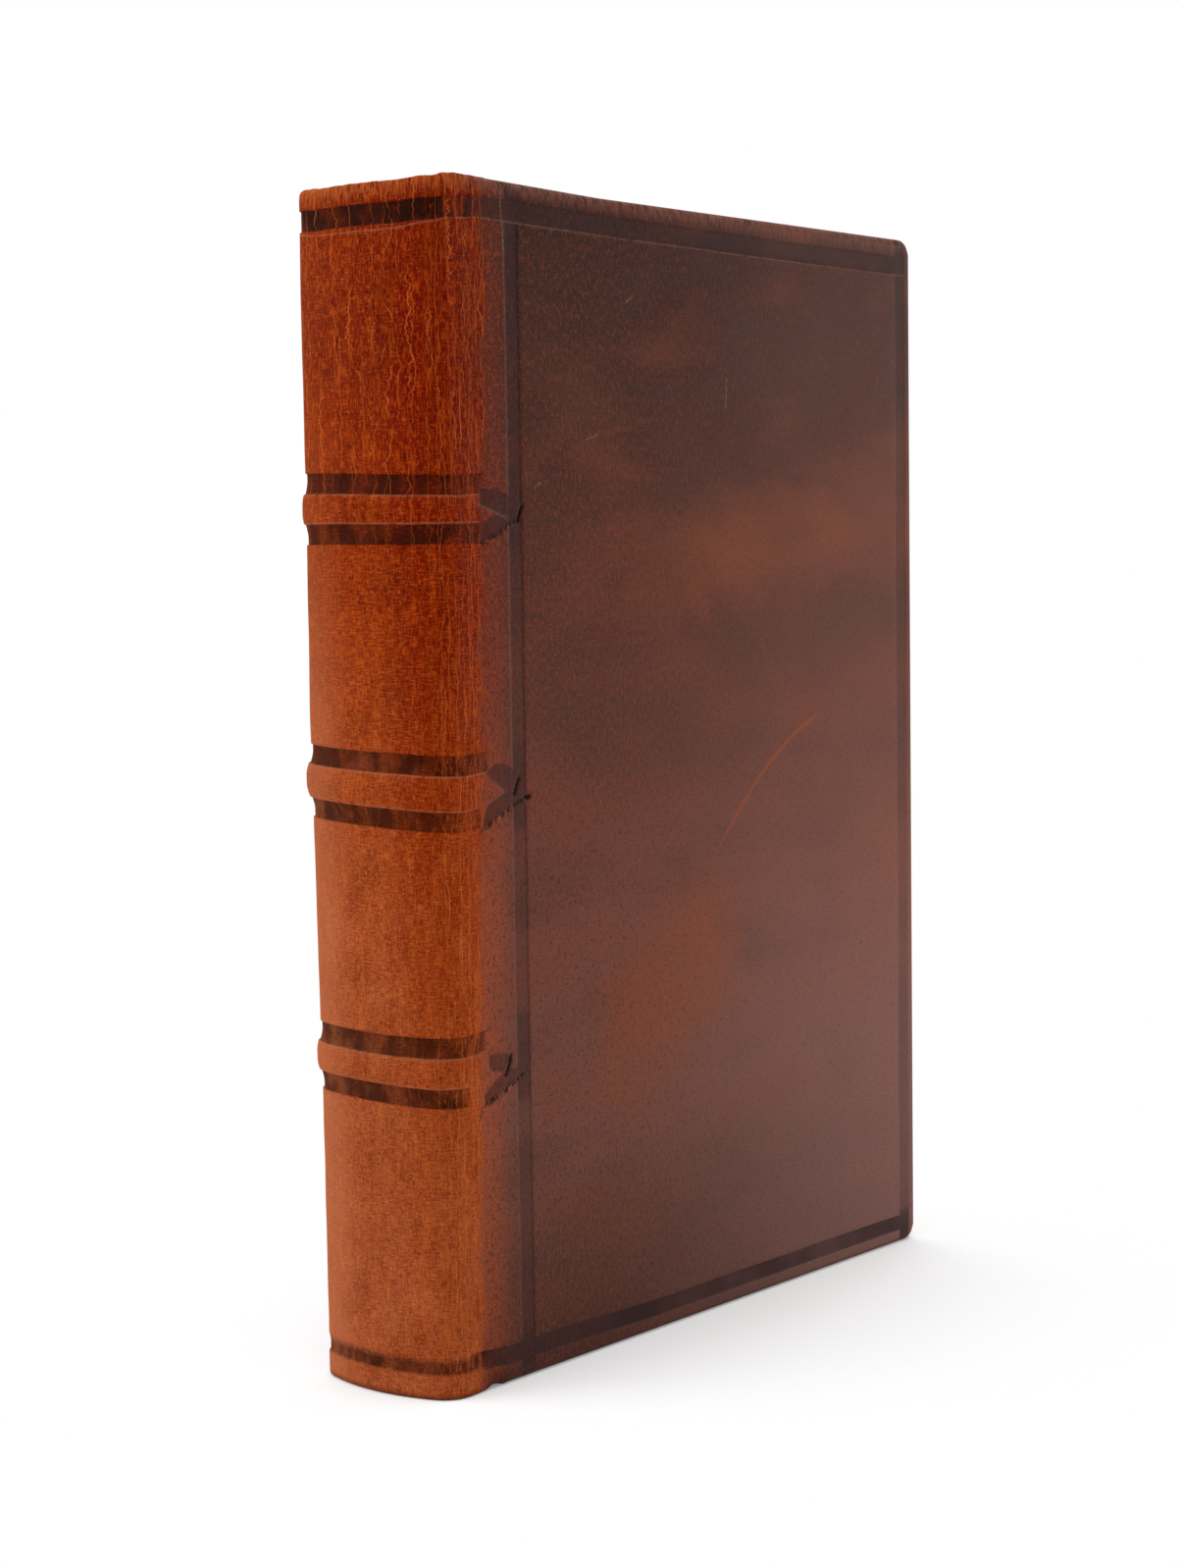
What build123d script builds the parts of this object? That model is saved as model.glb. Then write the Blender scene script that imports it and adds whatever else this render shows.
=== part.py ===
from build123d import *
import math
import os

# A leather-bound book on raised bands, standing on its tail. Millimetres, +Z up.
# X runs from the spine to the fore edge, the front cover faces -Y, and the origin is the
# middle of the base. The leather is one skin over a rounded back, two hinges and two boards.

# Leaves
LEAF_WIDTH = 147.0
LEAF_HEIGHT = 210.0
BLOCK_THICKNESS = 25.0

# Covers
BOARD_THICKNESS = 2.5
LEATHER = 1.0
PASTEDOWN = 0.2
COVER_CLEARANCE = 0.3
SQUARE = 3.0
FORE_SQUARE = 3.1
CORNER_RADIUS = 3.5
OUTER_EDGE_ROUND = 1.3
INNER_EDGE_ROUND = 0.5
TURN_IN_WIDTH = 14.0
TURN_IN_LEATHER = 0.6
PASTEDOWN_MARGIN = 4.0

# Back of the book
BACK_RADIUS = 36.0
BACK_CORNER_RADIUS = 6.0
LINER = 1.0
GLUE_LINE = 0.1
HEADCAP_ROUND = 0.8
SHOULDER_LENGTH = 8.0

# Flexible joints between the back and the boards
JOINT_LAND = 0.4
JOINT_WIDTH = 9.8
JOINT_SETBACK = 0.6

# Raised bands, heights measured from the tail of the covers
BAND_CENTRES = {"lower": 60.0, "middle": 109.3, "upper": 159.0}
BAND_HEIGHT = 5.4
BAND_RISE = 1.1
BAND_EDGE_SLOPE = 0.8
CORD_END_SETBACK = 3.0

# Blind tooling pressed into the leather
TOOL_DEPTH = 0.3
TOOL_WIDTH = 3.5
TOOL_GAP_TO_BAND = 0.4
BORDER_INSET = 3.4
FORE_BORDER_INSET = 1.9
BORDER_FROM_JOINT = 4.0
MITRE_REACH = 7.6
MITRE_TIP_LENGTH = 5.0

# Headbands sewn on the ends of the leaves
HEADBAND_WIDTH = 2.2
HEADBAND_HEIGHT = 2.2
HEADBAND_SIDE_MARGIN = 1.5

# A rounded edge never takes more than these shares of the wall it is on
EDGE_SHARE = 0.8
RIM_SHARE = 0.45

# Heights
COVER_HEIGHT = LEAF_HEIGHT + 2 * SQUARE
MID_HEIGHT = COVER_HEIGHT / 2

# Depths below the smooth outer surface of the back
LINER_OUTSIDE = LEATHER + GLUE_LINE
LINER_INSIDE = LINER_OUTSIDE + LINER
BLOCK_DEPTH = LINER_INSIDE + GLUE_LINE

# Widths across the book
COVER_THICKNESS = LEATHER + BOARD_THICKNESS
HALF_THICKNESS = BLOCK_THICKNESS / 2 + COVER_CLEARANCE + PASTEDOWN + COVER_THICKNESS
HALF_BLOCK = BLOCK_THICKNESS / 2

# Places along X, first from the crown of the smooth back and then from the middle of the base
BLOCK_BACK_RADIUS = BACK_RADIUS - BLOCK_DEPTH
ROUNDING = BLOCK_BACK_RADIUS - math.sqrt(BLOCK_BACK_RADIUS**2 - HALF_BLOCK**2)
FORE_EDGE_FROM_CROWN = BLOCK_DEPTH + LEAF_WIDTH + ROUNDING + FORE_SQUARE
CROWN_X = BAND_RISE - (FORE_EDGE_FROM_CROWN + BAND_RISE) / 2
BACK_CENTRE_X = CROWN_X + BACK_RADIUS
CORNER_RUN = math.sqrt((BACK_RADIUS - BACK_CORNER_RADIUS) ** 2 - (HALF_THICKNESS - BACK_CORNER_RADIUS) ** 2)
JOINT_START_X = BACK_CENTRE_X - CORNER_RUN + JOINT_LAND
BOARD_START_X = JOINT_START_X + JOINT_WIDTH
FORE_EDGE_X = CROWN_X + FORE_EDGE_FROM_CROWN
BORDER_X = BOARD_START_X + BORDER_FROM_JOINT
BAND_LINE_OFFSET = BAND_HEIGHT / 2 + TOOL_GAP_TO_BAND + TOOL_WIDTH / 2
HEAD_LINE_Z = COVER_HEIGHT - BORDER_INSET - TOOL_WIDTH / 2
TAIL_LINE_Z = BORDER_INSET + TOOL_WIDTH / 2


def slab(x_range, y_range, z_range):
    """A block between two corners."""
    size = [high - low for low, high in (x_range, y_range, z_range)]
    middle = [(high + low) / 2 for low, high in (x_range, y_range, z_range)]
    return Pos(*middle) * Box(*size)


def back_region(depth, rise=0.0):
    """The plan of the back at a depth below its smooth surface, closed off where the joints start."""
    radius = BACK_RADIUS - depth + rise
    corner = BACK_CORNER_RADIUS - depth
    half = HALF_THICKNESS - depth
    corner_y = half - corner
    corner_x = BACK_CENTRE_X - math.sqrt((radius - corner) ** 2 - corner_y**2)
    turn = math.atan2(corner_y, BACK_CENTRE_X - corner_x)
    mid_turn = (turn + math.pi / 2) / 2
    meet = (BACK_CENTRE_X - radius * math.cos(turn), radius * math.sin(turn))
    bulge = (corner_x - corner * math.cos(mid_turn), corner_y + corner * math.sin(mid_turn))
    far_side = [(JOINT_START_X, half), (corner_x, half), bulge, meet]
    near_side = [(x, -y) for x, y in far_side]
    crown = (BACK_CENTRE_X - radius, 0)
    outline = [
        Line(far_side[0], far_side[1]),
        ThreePointArc(far_side[1], far_side[2], far_side[3]),
        ThreePointArc(far_side[3], crown, near_side[3]),
        ThreePointArc(near_side[3], near_side[2], near_side[1]),
        Line(near_side[1], near_side[0]),
        Line(near_side[0], far_side[0]),
    ]
    return make_face(outline)


def back_column(depth, bottom, top, rise=0.0):
    """The back's plan drawn up between two heights."""
    return Pos(0, 0, bottom) * extrude(back_region(depth, rise), top - bottom)


def back_shell(outside, inside, bottom, top):
    """A sheet round the back, between two depths and two heights."""
    return back_column(outside, bottom, top) - back_column(inside, bottom, top)


def text_block():
    """All the leaves as one solid: rounded and backed at the spine, hollowed to match at the fore edge."""
    half_back = HALF_THICKNESS - BLOCK_DEPTH
    shoulder_end = BOARD_START_X - COVER_CLEARANCE
    shoulder_start = shoulder_end - SHOULDER_LENGTH
    shoulder_mid = (shoulder_start + SHOULDER_LENGTH / 2, (half_back + HALF_BLOCK) / 2)
    fore_x = FORE_EDGE_X - FORE_SQUARE
    flare = TangentArc((shoulder_start, half_back), shoulder_mid, tangent=(1, 0))
    settle = TangentArc(shoulder_mid, (shoulder_end, HALF_BLOCK), tangent=flare % 1)
    far_side = [
        Line((JOINT_START_X, half_back), (shoulder_start, half_back)),
        flare,
        settle,
        Line((shoulder_end, HALF_BLOCK), (fore_x, HALF_BLOCK)),
    ]
    near_side = [mirror(edge, Plane.XZ) for edge in far_side]
    fore_edge = ThreePointArc((fore_x, HALF_BLOCK), (fore_x - ROUNDING, 0), (fore_x, -HALF_BLOCK))
    back_end = Line((JOINT_START_X, half_back), (JOINT_START_X, -half_back))
    leaves = make_face(far_side + near_side + [fore_edge, back_end])
    plan = leaves + back_region(BLOCK_DEPTH)
    return Pos(0, 0, SQUARE) * extrude(plan, LEAF_HEIGHT)


def spine_liner():
    """The stiff lining on the pages' back, thinned at both ends where the leather turns in over it."""
    bottom = LEATHER + GLUE_LINE
    top = COVER_HEIGHT - bottom
    thinned = LINER_INSIDE - TURN_IN_LEATHER - GLUE_LINE
    liner = back_shell(LINER_OUTSIDE, LINER_INSIDE, bottom, top)
    reach = TURN_IN_WIDTH + GLUE_LINE
    for low, high in ((0, reach), (COVER_HEIGHT - reach, COVER_HEIGHT)):
        liner -= back_shell(thinned, LINER_INSIDE, low, high)
    return liner


def band_core(centre, clearance=GLUE_LINE):
    """The cord under one raised band, which ends before the back turns into the joints."""
    half = BAND_HEIGHT / 2 - LEATHER + GLUE_LINE - clearance
    rise = BAND_RISE - clearance
    raised = back_column(LEATHER, centre - half, centre + half, rise)
    flush = back_column(LEATHER, centre - half, centre + half)
    core = raised - flush
    keep = slab(
        (CROWN_X - BAND_RISE, JOINT_START_X - CORD_END_SETBACK - clearance),
        (-HALF_THICKNESS, HALF_THICKNESS),
        (centre - BAND_HEIGHT, centre + BAND_HEIGHT),
    )
    return core & keep


def raised_leather(centre):
    """The leather moulded over one cord, its long edges sloped."""
    band = back_column(0, centre - BAND_HEIGHT / 2, centre + BAND_HEIGHT / 2, BAND_RISE)
    arcs = [edge for edge in band.edges() if edge.geom_type == GeomType.CIRCLE]
    rims = [arc for arc in arcs if arc.radius > BACK_RADIUS]
    return chamfer(rims, min(BAND_EDGE_SLOPE, EDGE_SHARE * BAND_RISE))


def tooled_ring(z_middle):
    """A tooled line round the back."""
    bottom = z_middle - TOOL_WIDTH / 2
    top = z_middle + TOOL_WIDTH / 2
    return back_shell(-TOOL_DEPTH, TOOL_DEPTH, bottom, top)


def spine_leather():
    """The skin over the back: moulded on the bands, tooled, and turned in over the liner at both ends."""
    skin = back_column(0, 0, COVER_HEIGHT)
    ends = [edge for edge in skin.edges() if edge.geom_type == GeomType.CIRCLE]
    skin = fillet(ends, min(HEADCAP_ROUND, EDGE_SHARE * LEATHER))
    for centre in BAND_CENTRES.values():
        skin += raised_leather(centre)
        skin -= band_core(centre, clearance=0.0)
    skin -= back_column(LEATHER, TURN_IN_WIDTH, COVER_HEIGHT - TURN_IN_WIDTH)
    skin -= back_column(LINER_INSIDE, 0, COVER_HEIGHT)
    pocket_depth = LINER_INSIDE - TURN_IN_LEATHER
    for low, high in ((LEATHER, TURN_IN_WIDTH), (COVER_HEIGHT - TURN_IN_WIDTH, COVER_HEIGHT - LEATHER)):
        skin -= back_shell(LEATHER, pocket_depth, low, high)
    for z_middle in (HEAD_LINE_Z, TAIL_LINE_Z):
        skin -= tooled_ring(z_middle)
    for centre in BAND_CENTRES.values():
        skin -= tooled_ring(centre - BAND_LINE_OFFSET)
        skin -= tooled_ring(centre + BAND_LINE_OFFSET)
    return skin


def tooled_line(x_range, z_range):
    """A straight line pressed into the outer face of the front cover or joint."""
    face_y = -HALF_THICKNESS
    return slab(x_range, (face_y - TOOL_DEPTH, face_y + TOOL_DEPTH), z_range)


def mitre(centre):
    """The chevron that closes a band's two lines in a point on the cover."""
    tip_x = BOARD_START_X + MITRE_REACH
    near = BAND_LINE_OFFSET - TOOL_WIDTH / 2
    far = BAND_LINE_OFFSET + TOOL_WIDTH / 2
    corners = [
        (JOINT_START_X, far),
        (tip_x, 0),
        (JOINT_START_X, -far),
        (JOINT_START_X, -near),
        (tip_x - MITRE_TIP_LENGTH, 0),
        (JOINT_START_X, near),
    ]
    outline = make_face(Polyline(*corners, close=True))
    return Pos(0, -HALF_THICKNESS, centre) * extrude(Plane.XZ * outline, TOOL_DEPTH, both=True)


def front_tooling():
    """Every line pressed into the front: a border, and the mitres that the bands run out to."""
    head = (HEAD_LINE_Z - TOOL_WIDTH / 2, HEAD_LINE_Z + TOOL_WIDTH / 2)
    tail = (TAIL_LINE_Z - TOOL_WIDTH / 2, TAIL_LINE_Z + TOOL_WIDTH / 2)
    fore_line_end = FORE_EDGE_X - FORE_BORDER_INSET
    lines = [
        tooled_line((JOINT_START_X - JOINT_LAND, fore_line_end), head),
        tooled_line((JOINT_START_X - JOINT_LAND, fore_line_end), tail),
        tooled_line((BORDER_X, BORDER_X + TOOL_WIDTH), (tail[0], head[1])),
        tooled_line((fore_line_end - TOOL_WIDTH, fore_line_end), (tail[0], head[1])),
    ]
    return lines + [mitre(centre) for centre in BAND_CENTRES.values()]


def press(solid):
    """Press the front tooling into a piece."""
    for line in front_tooling():
        solid -= line
    return solid


def front_joint_leather():
    """The flexible strip of skin between the back and the front board."""
    strip = slab(
        (JOINT_START_X, BOARD_START_X),
        (-HALF_THICKNESS, LEATHER - HALF_THICKNESS),
        (JOINT_SETBACK, COVER_HEIGHT - JOINT_SETBACK),
    )
    return press(strip)


def board_shape(inset, y_range):
    """A plate of the cover's outline, set in from its three free edges, with rounded fore corners."""
    plate = slab(
        (BOARD_START_X, FORE_EDGE_X - inset),
        y_range,
        (inset, COVER_HEIGHT - inset),
    )
    corners = plate.edges().filter_by(Axis.Y).group_by(Axis.X)[-1]
    return fillet(corners, max(CORNER_RADIUS - inset, INNER_EDGE_ROUND))


def front_board():
    """The stiff board, rebated on its inner face so that the turned-in leather lies flush."""
    outer_y = LEATHER - HALF_THICKNESS
    inner_y = COVER_THICKNESS - HALF_THICKNESS
    rebate_y = inner_y - TURN_IN_LEATHER
    board = board_shape(LEATHER, (outer_y, rebate_y))
    raised = slab(
        (BOARD_START_X, FORE_EDGE_X - TURN_IN_WIDTH),
        (rebate_y, inner_y),
        (TURN_IN_WIDTH, COVER_HEIGHT - TURN_IN_WIDTH),
    )
    return board + raised


def front_cover_leather():
    """The skin over the front board, wrapped round three edges and turned in on the inside."""
    outer_y = -HALF_THICKNESS
    inner_y = COVER_THICKNESS - HALF_THICKNESS
    cover = board_shape(0, (outer_y, inner_y))
    for face, radius in (
        (cover.faces().sort_by(Axis.Y)[0], OUTER_EDGE_ROUND),
        (cover.faces().sort_by(Axis.Y)[-1], INNER_EDGE_ROUND),
    ):
        rims = [edge for edge in face.edges() if edge.center().X > BOARD_START_X + INNER_EDGE_ROUND]
        cover = fillet(rims, min(radius, RIM_SHARE * COVER_THICKNESS))
    return press(cover - front_board())


def front_pastedown():
    """The paper leaf pasted over the board and the turned-in leather."""
    inner_y = COVER_THICKNESS - HALF_THICKNESS
    return slab(
        (BOARD_START_X + COVER_CLEARANCE, FORE_EDGE_X - PASTEDOWN_MARGIN),
        (inner_y, inner_y + PASTEDOWN),
        (PASTEDOWN_MARGIN, COVER_HEIGHT - PASTEDOWN_MARGIN),
    )


def headband():
    """The sewn roll on the end of the leaves, flat below and sloped above, along the pages' back."""
    outer_radius = BLOCK_BACK_RADIUS - GLUE_LINE
    half_angle = math.degrees(math.asin((HALF_BLOCK - HEADBAND_SIDE_MARGIN) / outer_radius))
    outer_x = -outer_radius
    inner_x = outer_x + HEADBAND_WIDTH
    slope = HEADBAND_WIDTH / 3
    wall = HEADBAND_HEIGHT - slope
    corners = [
        (outer_x, 0),
        (inner_x, 0),
        (inner_x, wall),
        (inner_x - slope, HEADBAND_HEIGHT),
        (outer_x + slope, HEADBAND_HEIGHT),
        (outer_x, wall),
    ]
    section = make_face(Polyline(*corners, close=True))
    roll = revolve(Plane.XZ * section, Axis.Z, 2 * half_angle)
    return Pos(BACK_CENTRE_X, 0, SQUARE + LEAF_HEIGHT) * Rot(0, 0, -half_angle) * roll


def other_cover(piece):
    """The same piece on the other side of the book."""
    return mirror(piece, Plane.XZ)


def build():
    """Every piece of the book by name."""
    pieces = {
        "text_block": text_block(),
        "spine_liner": spine_liner(),
        "spine_leather": spine_leather(),
    }
    for name, centre in BAND_CENTRES.items():
        pieces["raised_band_" + name] = band_core(centre)
    for name, maker in (
        ("joint_leather", front_joint_leather),
        ("cover_leather", front_cover_leather),
        ("board", front_board),
        ("pastedown", front_pastedown),
    ):
        front = maker()
        pieces["front_" + name] = front
        pieces["back_" + name] = other_cover(front)
    head = headband()
    pieces["headband_head"] = head
    pieces["headband_tail"] = mirror(head, Plane.XY.offset(MID_HEIGHT))
    return pieces


os.makedirs("parts", exist_ok=True)
for node, solid in build().items():
    export_step(solid, os.path.join("parts", node + ".step"))
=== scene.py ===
import math

import bmesh
import bpy
import numpy as np
from mathutils import Matrix, Vector, noise


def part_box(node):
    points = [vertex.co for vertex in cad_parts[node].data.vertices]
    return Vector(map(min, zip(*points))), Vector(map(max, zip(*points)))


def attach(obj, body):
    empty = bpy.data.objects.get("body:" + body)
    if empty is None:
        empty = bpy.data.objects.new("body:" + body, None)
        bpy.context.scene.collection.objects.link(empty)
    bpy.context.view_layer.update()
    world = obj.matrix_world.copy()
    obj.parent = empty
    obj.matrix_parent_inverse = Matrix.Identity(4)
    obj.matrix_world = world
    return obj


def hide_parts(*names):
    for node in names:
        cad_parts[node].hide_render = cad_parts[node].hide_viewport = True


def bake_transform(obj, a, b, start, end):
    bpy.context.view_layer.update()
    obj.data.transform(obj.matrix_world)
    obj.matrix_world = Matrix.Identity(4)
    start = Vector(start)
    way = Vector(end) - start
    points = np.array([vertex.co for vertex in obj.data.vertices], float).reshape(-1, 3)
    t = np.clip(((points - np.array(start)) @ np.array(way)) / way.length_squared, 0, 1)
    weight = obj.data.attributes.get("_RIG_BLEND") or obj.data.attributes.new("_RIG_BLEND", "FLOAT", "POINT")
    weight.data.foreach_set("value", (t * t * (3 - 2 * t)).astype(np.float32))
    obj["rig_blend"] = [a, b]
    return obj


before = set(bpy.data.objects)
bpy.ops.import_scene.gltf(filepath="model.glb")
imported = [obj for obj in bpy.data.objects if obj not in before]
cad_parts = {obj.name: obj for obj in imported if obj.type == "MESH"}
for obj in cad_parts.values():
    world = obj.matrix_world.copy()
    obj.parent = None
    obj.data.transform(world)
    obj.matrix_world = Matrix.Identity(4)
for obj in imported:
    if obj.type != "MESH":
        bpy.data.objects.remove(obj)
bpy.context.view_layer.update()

# A worn leather book on raised bands. Sizes below are millimetres in the frame's own axes.
MM = 0.001


def node_box(node):
    """A node's lowest and highest corners, in millimetres."""
    low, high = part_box(node)
    return np.array(low) / MM, np.array(high) / MM


# Sizes and places read from the frame
SPINE_LOW, _ = node_box("spine_leather")
STRIP_LOW, STRIP_HIGH = node_box("front_joint_leather")
COVER_LOW, COVER_HIGH = node_box("front_cover_leather")
LINER_LOW, _ = node_box("spine_liner")
HEIGHT = COVER_HIGH[2]
HALF = -COVER_LOW[1]
JOINT_X = STRIP_LOW[0]
BOARD_X = STRIP_HIGH[0]
JOINT_WIDTH = BOARD_X - JOINT_X
FORE_FULLNESS = 0.9
FORE_X = COVER_HIGH[0] + FORE_FULLNESS
LEATHER = STRIP_HIGH[1] - STRIP_LOW[1]
COVER_THICKNESS = COVER_HIGH[1] - COVER_LOW[1]
STRIP_SETBACK = STRIP_LOW[2]

# Form of the back
BACK_RADIUS = 36.0
TAIL_CORNER = 6.0
HEAD_CORNER = 4.6
BAND_RISE = 1.1
CROWN_X = SPINE_LOW[0] + BAND_RISE
BACK_CENTRE_X = CROWN_X + BACK_RADIUS
TURN_IN = 14.0
TURN_IN_LEATHER = 0.6
LINER = 1.0
LINER_DEPTH = LINER_LOW[0] - CROWN_X + LINER
HEADCAP_ROUND = 0.8
# How far the back's far corner is fuller than its round, by height
FULLNESS = ((40.0, 0.0), (84.0, 0.45), (120.0, 0.95), (165.0, 0.75), (HEIGHT, 0.6))
# The head edge sinks over the back, stands up at the joint and comes down again along the cover
HEAD_SINK = 0.45
HEAD_STAND = 0.95
HEAD_FADE = 42.0
# A joint sinks between the back and the board, and has a notch at its tail that starts here
JOINT_DIP = 0.22
NOTCH_W = 3.6

# Form of the covers
SIGNS = {"front": -1.0, "back": 1.0}
CORNER_RADIUS = 3.5
FACE_INSET = 1.6
OUTER_ROUND = 1.5
INNER_ROUND = 0.6
FLAP_STEP = 0.05
FLAP_ROWS = (2.2, 4.4)

# Blind tooling: places are distances from the edge of the joint and from the tail
TOOL_DEPTH = 0.32
TOOL_HALF = 1.8
TOOL_SOFT = 0.12
BORDER_GAP = 4.0
BORDER_X = BOARD_X + BORDER_GAP
BORDER_W = BORDER_X - JOINT_X
FORE_W = FORE_X - JOINT_X
FORE_LINE_W = FORE_W - 2.9
HEAD_LINE_Z = HEIGHT - 5.2
TAIL_LINE_Z = 5.3
BANDS = (
    {"z": 59.6, "offset": 4.5, "rise": 0.9, "ends": (0.8, 5.0)},
    {"z": 108.9, "offset": 5.0, "rise": 1.1, "ends": (4.6, 6.8)},
    {"z": 158.7, "offset": 4.35, "rise": 0.75, "ends": (6.4, 6.4)},
)

# Hand tooling slants: how far each line is moved up at the front joint and at the back joint
LINE_SHIFTS = (
    (0.0, 0.0, 0.0),
    (TAIL_LINE_Z, 0.9, 1.05),
    (30.0, 0.0, 0.0),
    (55.1, -0.6, 0.6),
    (64.1, -0.7, 0.3),
    (84.0, 0.0, 0.0),
    (103.9, -0.4, 2.0),
    (113.9, -0.5, 1.5),
    (134.0, 0.0, 0.0),
    (154.3, 0.0, 0.1),
    (163.1, -0.4, 0.9),
    (190.0, 0.0, 0.0),
    (HEAD_LINE_Z, -0.6, -0.6),
    (HEIGHT, 0.0, 0.0),
)
# The lines along tail and head sag towards the fore edge, and so does the skin that far from the edge
TAIL_SAG = 1.0
HEAD_SAG = 0.6
SAG_REACH = 40.0

# Each band's lines close in a mitre on the cover. Points are (distance from the border line, height from the
# band), and a slit is a cut between two such points. Each painted highlight is a stretch between two points.
MITRES = (
    {
        "strokes": (
            ((-7.6, 1.6), (-4.5, 1.5), (-1.7, 0.8), (-1.9, -0.8), (-3.0, -2.8), (-4.6, -2.2), (-7.4, -1.2)),
            ((-8.8, -5.4), (-6.0, -3.3), (-2.6, -1.9), (0.6, -2.0), (2.3, -3.2), (-4.0, -5.8), (-8.6, -7.3)),
        ),
        "slits": (((-1.6, 0.6), (-1.9, -0.9)), ((-1.9, -0.9), (-3.0, -2.9))),
        "shine": (),
        "ragged": ((-10.5, -8.6), (-8.6, -7.3), (-4.0, -5.8), (-0.5, -4.4), (2.2, -3.3)),
    },
    {
        "strokes": (
            ((-7.0, 2.8), (-5.2, 4.3), (-2.6, 4.3), (0.2, 3.1))
            + ((5.0, -2.3), (1.4, -3.0), (-2.9, -0.2), (-6.4, 2.0)),
            ((-7.6, -4.6), (-6.6, -2.6), (-2.8, -1.0), (0.5, -1.4), (1.6, -2.8), (-1.8, -4.7), (-8.2, -7.2)),
        ),
        "slits": (((2.0, 1.3), (0.6, -1.5)), ((3.6, -2.3), (4.9, -2.2))),
        "shine": (((-6.5, -2.6), (-2.8, -1.1)),),
        "ragged": ((-8.2, -7.2), (-5.0, -5.9), (-1.8, -4.7), (1.6, -2.9), (4.6, -2.4)),
    },
    {
        "strokes": (
            ((-7.4, 3.4), (-3.5, 3.4), (0.2, 2.2), (3.9, 0.3))
            + ((2.9, -2.1), (0.2, -1.7), (-3.5, -0.6), (-7.6, 0.6)),
            ((-7.0, -3.0), (-5.5, -1.9), (-3.0, -1.0), (0.0, -1.9), (0.5, -2.6), (-2.0, -4.2), (-7.4, -6.4)),
        ),
        "slits": (((3.9, 0.5), (2.7, -2.2)),),
        "shine": (((-7.8, 0.6), (-0.5, -1.7)),),
        "ragged": ((-7.4, -6.4), (-4.6, -5.3), (-2.0, -4.2), (0.5, -2.7), (2.6, -1.9)),
    },
)
SLIT_HALF = 0.3
SLIT_DEPTH = 0.35
# Painted highlights beside the lines: half width, gap from the line, and how much lower the head line's one
# lies over the back
HIGHLIGHT_HALF = 0.16
HIGHLIGHT_GAP = 0.1
HEAD_HIGHLIGHT_SLANT = 0.9
RAGGED_HALF = 0.35
MASKS = ("press", "shine", "slit", "ragged")

# Spacing of the skin's grid: rows up the skin, columns on each stretch of the back, columns on a cover
ROW_STEP = 1.3
BAND_ROW_STEP = 0.38
BAND_ROW_REACH = 8.6
EDGE_ROWS = (-0.3, -0.12, 0.0, 0.12)
HEAD_HIGHLIGHT_ROWS = (1.3, 0.4)
LIP_STEPS = 6
BACK_COLUMNS = (2, 21, 68, 21, 2)
FIELD_STEP = 2.6
MITRE_REACH = 10.5
FORE_REACH = 7.0


def smooth(x, low, high):
    """0 below low, 1 above high, and a smooth rise between them."""
    t = np.clip((x - low) / (high - low), 0.0, 1.0)
    return t * t * (3 - 2 * t)


def spread(low, high, step):
    """Evenly spaced values from low to high, about a step apart."""
    return np.linspace(low, high, max(2, int(round((high - low) / step)) + 1))


def thinned(values, least):
    """Sorted values with those that lie closer than least to the one before left out."""
    kept = []
    for value in sorted(values):
        if not kept or value - kept[-1] >= least:
            kept.append(value)
    return np.array(kept)


def tooled_lines():
    """Every tooled line that runs round the back, as its middle height and how far it runs past the joint."""
    lines = [(TAIL_LINE_Z, FORE_LINE_W), (HEAD_LINE_Z, FORE_LINE_W)]
    for band in BANDS:
        below, above = band["ends"]
        lines += [(band["z"] - band["offset"], below), (band["z"] + band["offset"], above)]
    return lines


def skin_rows():
    """Heights of the skin's rows, which are close together where lines and bands need them."""
    rows = []
    for height, _ in tooled_lines():
        for edge in (height - TOOL_HALF, height + TOOL_HALF):
            rows += [edge + offset for offset in EDGE_ROWS]
    lowest, highest = [HEAD_LINE_Z - TOOL_HALF - below for below in HEAD_HIGHLIGHT_ROWS]
    rows += list(spread(lowest, highest, TOOL_SOFT))
    fixed = thinned(rows, 0.05)
    fill = list(spread(FACE_INSET, HEIGHT - FACE_INSET, ROW_STEP))
    for band in BANDS:
        fill += list(spread(band["z"] - BAND_ROW_REACH, band["z"] + BAND_ROW_REACH, BAND_ROW_STEP))
    gap = np.array([np.min(np.abs(fixed - value)) for value in fill])
    rows = list(fixed) + [value for value, near in zip(fill, gap) if near > 0.18]
    inside = [row for row in thinned(rows, 0.1) if FACE_INSET + 0.1 < row < HEIGHT - FACE_INSET - 0.1]
    return np.array([FACE_INSET] + inside + [HEIGHT - FACE_INSET])


ROWS = skin_rows()


def back_plan(tau, corner):
    """Points and outward directions round the back. tau runs from 0 at the front joint to 5 at the back
    joint: a flat land, a corner, the round, a corner and a land."""
    corner_y = HALF - corner
    corner_x = BACK_CENTRE_X - np.sqrt((BACK_RADIUS - corner) ** 2 - corner_y**2)
    turn = np.arctan2(corner_y, BACK_CENTRE_X - corner_x)
    side = np.where(tau < 2.5, 1.0, -1.0)
    t = np.where(tau < 2.5, tau, 5.0 - tau)
    land = np.clip(t, 0, 1)
    bend = np.clip(t - 1, 0, 1)
    around = np.clip(t - 2, 0, 0.5) * 2
    quarter = math.pi / 2
    angle = np.where(t <= 2, quarter + (turn - quarter) * bend, turn * (1 - around))
    on_round = t > 2
    x_corner = corner_x - corner * np.cos(angle) + (1 - land) * (JOINT_X - corner_x)
    x = np.where(on_round, BACK_CENTRE_X - BACK_RADIUS * np.cos(angle), x_corner)
    y = np.where(on_round, BACK_RADIUS * np.sin(angle), corner_y + corner * np.sin(angle))
    return x, -side * y, -np.cos(angle), -side * np.sin(angle)


def travelled(x, y):
    """How far each of a row of points lies along it from the first."""
    return np.concatenate([[0], np.cumsum(np.hypot(np.diff(x), np.diff(y)))])


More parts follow.
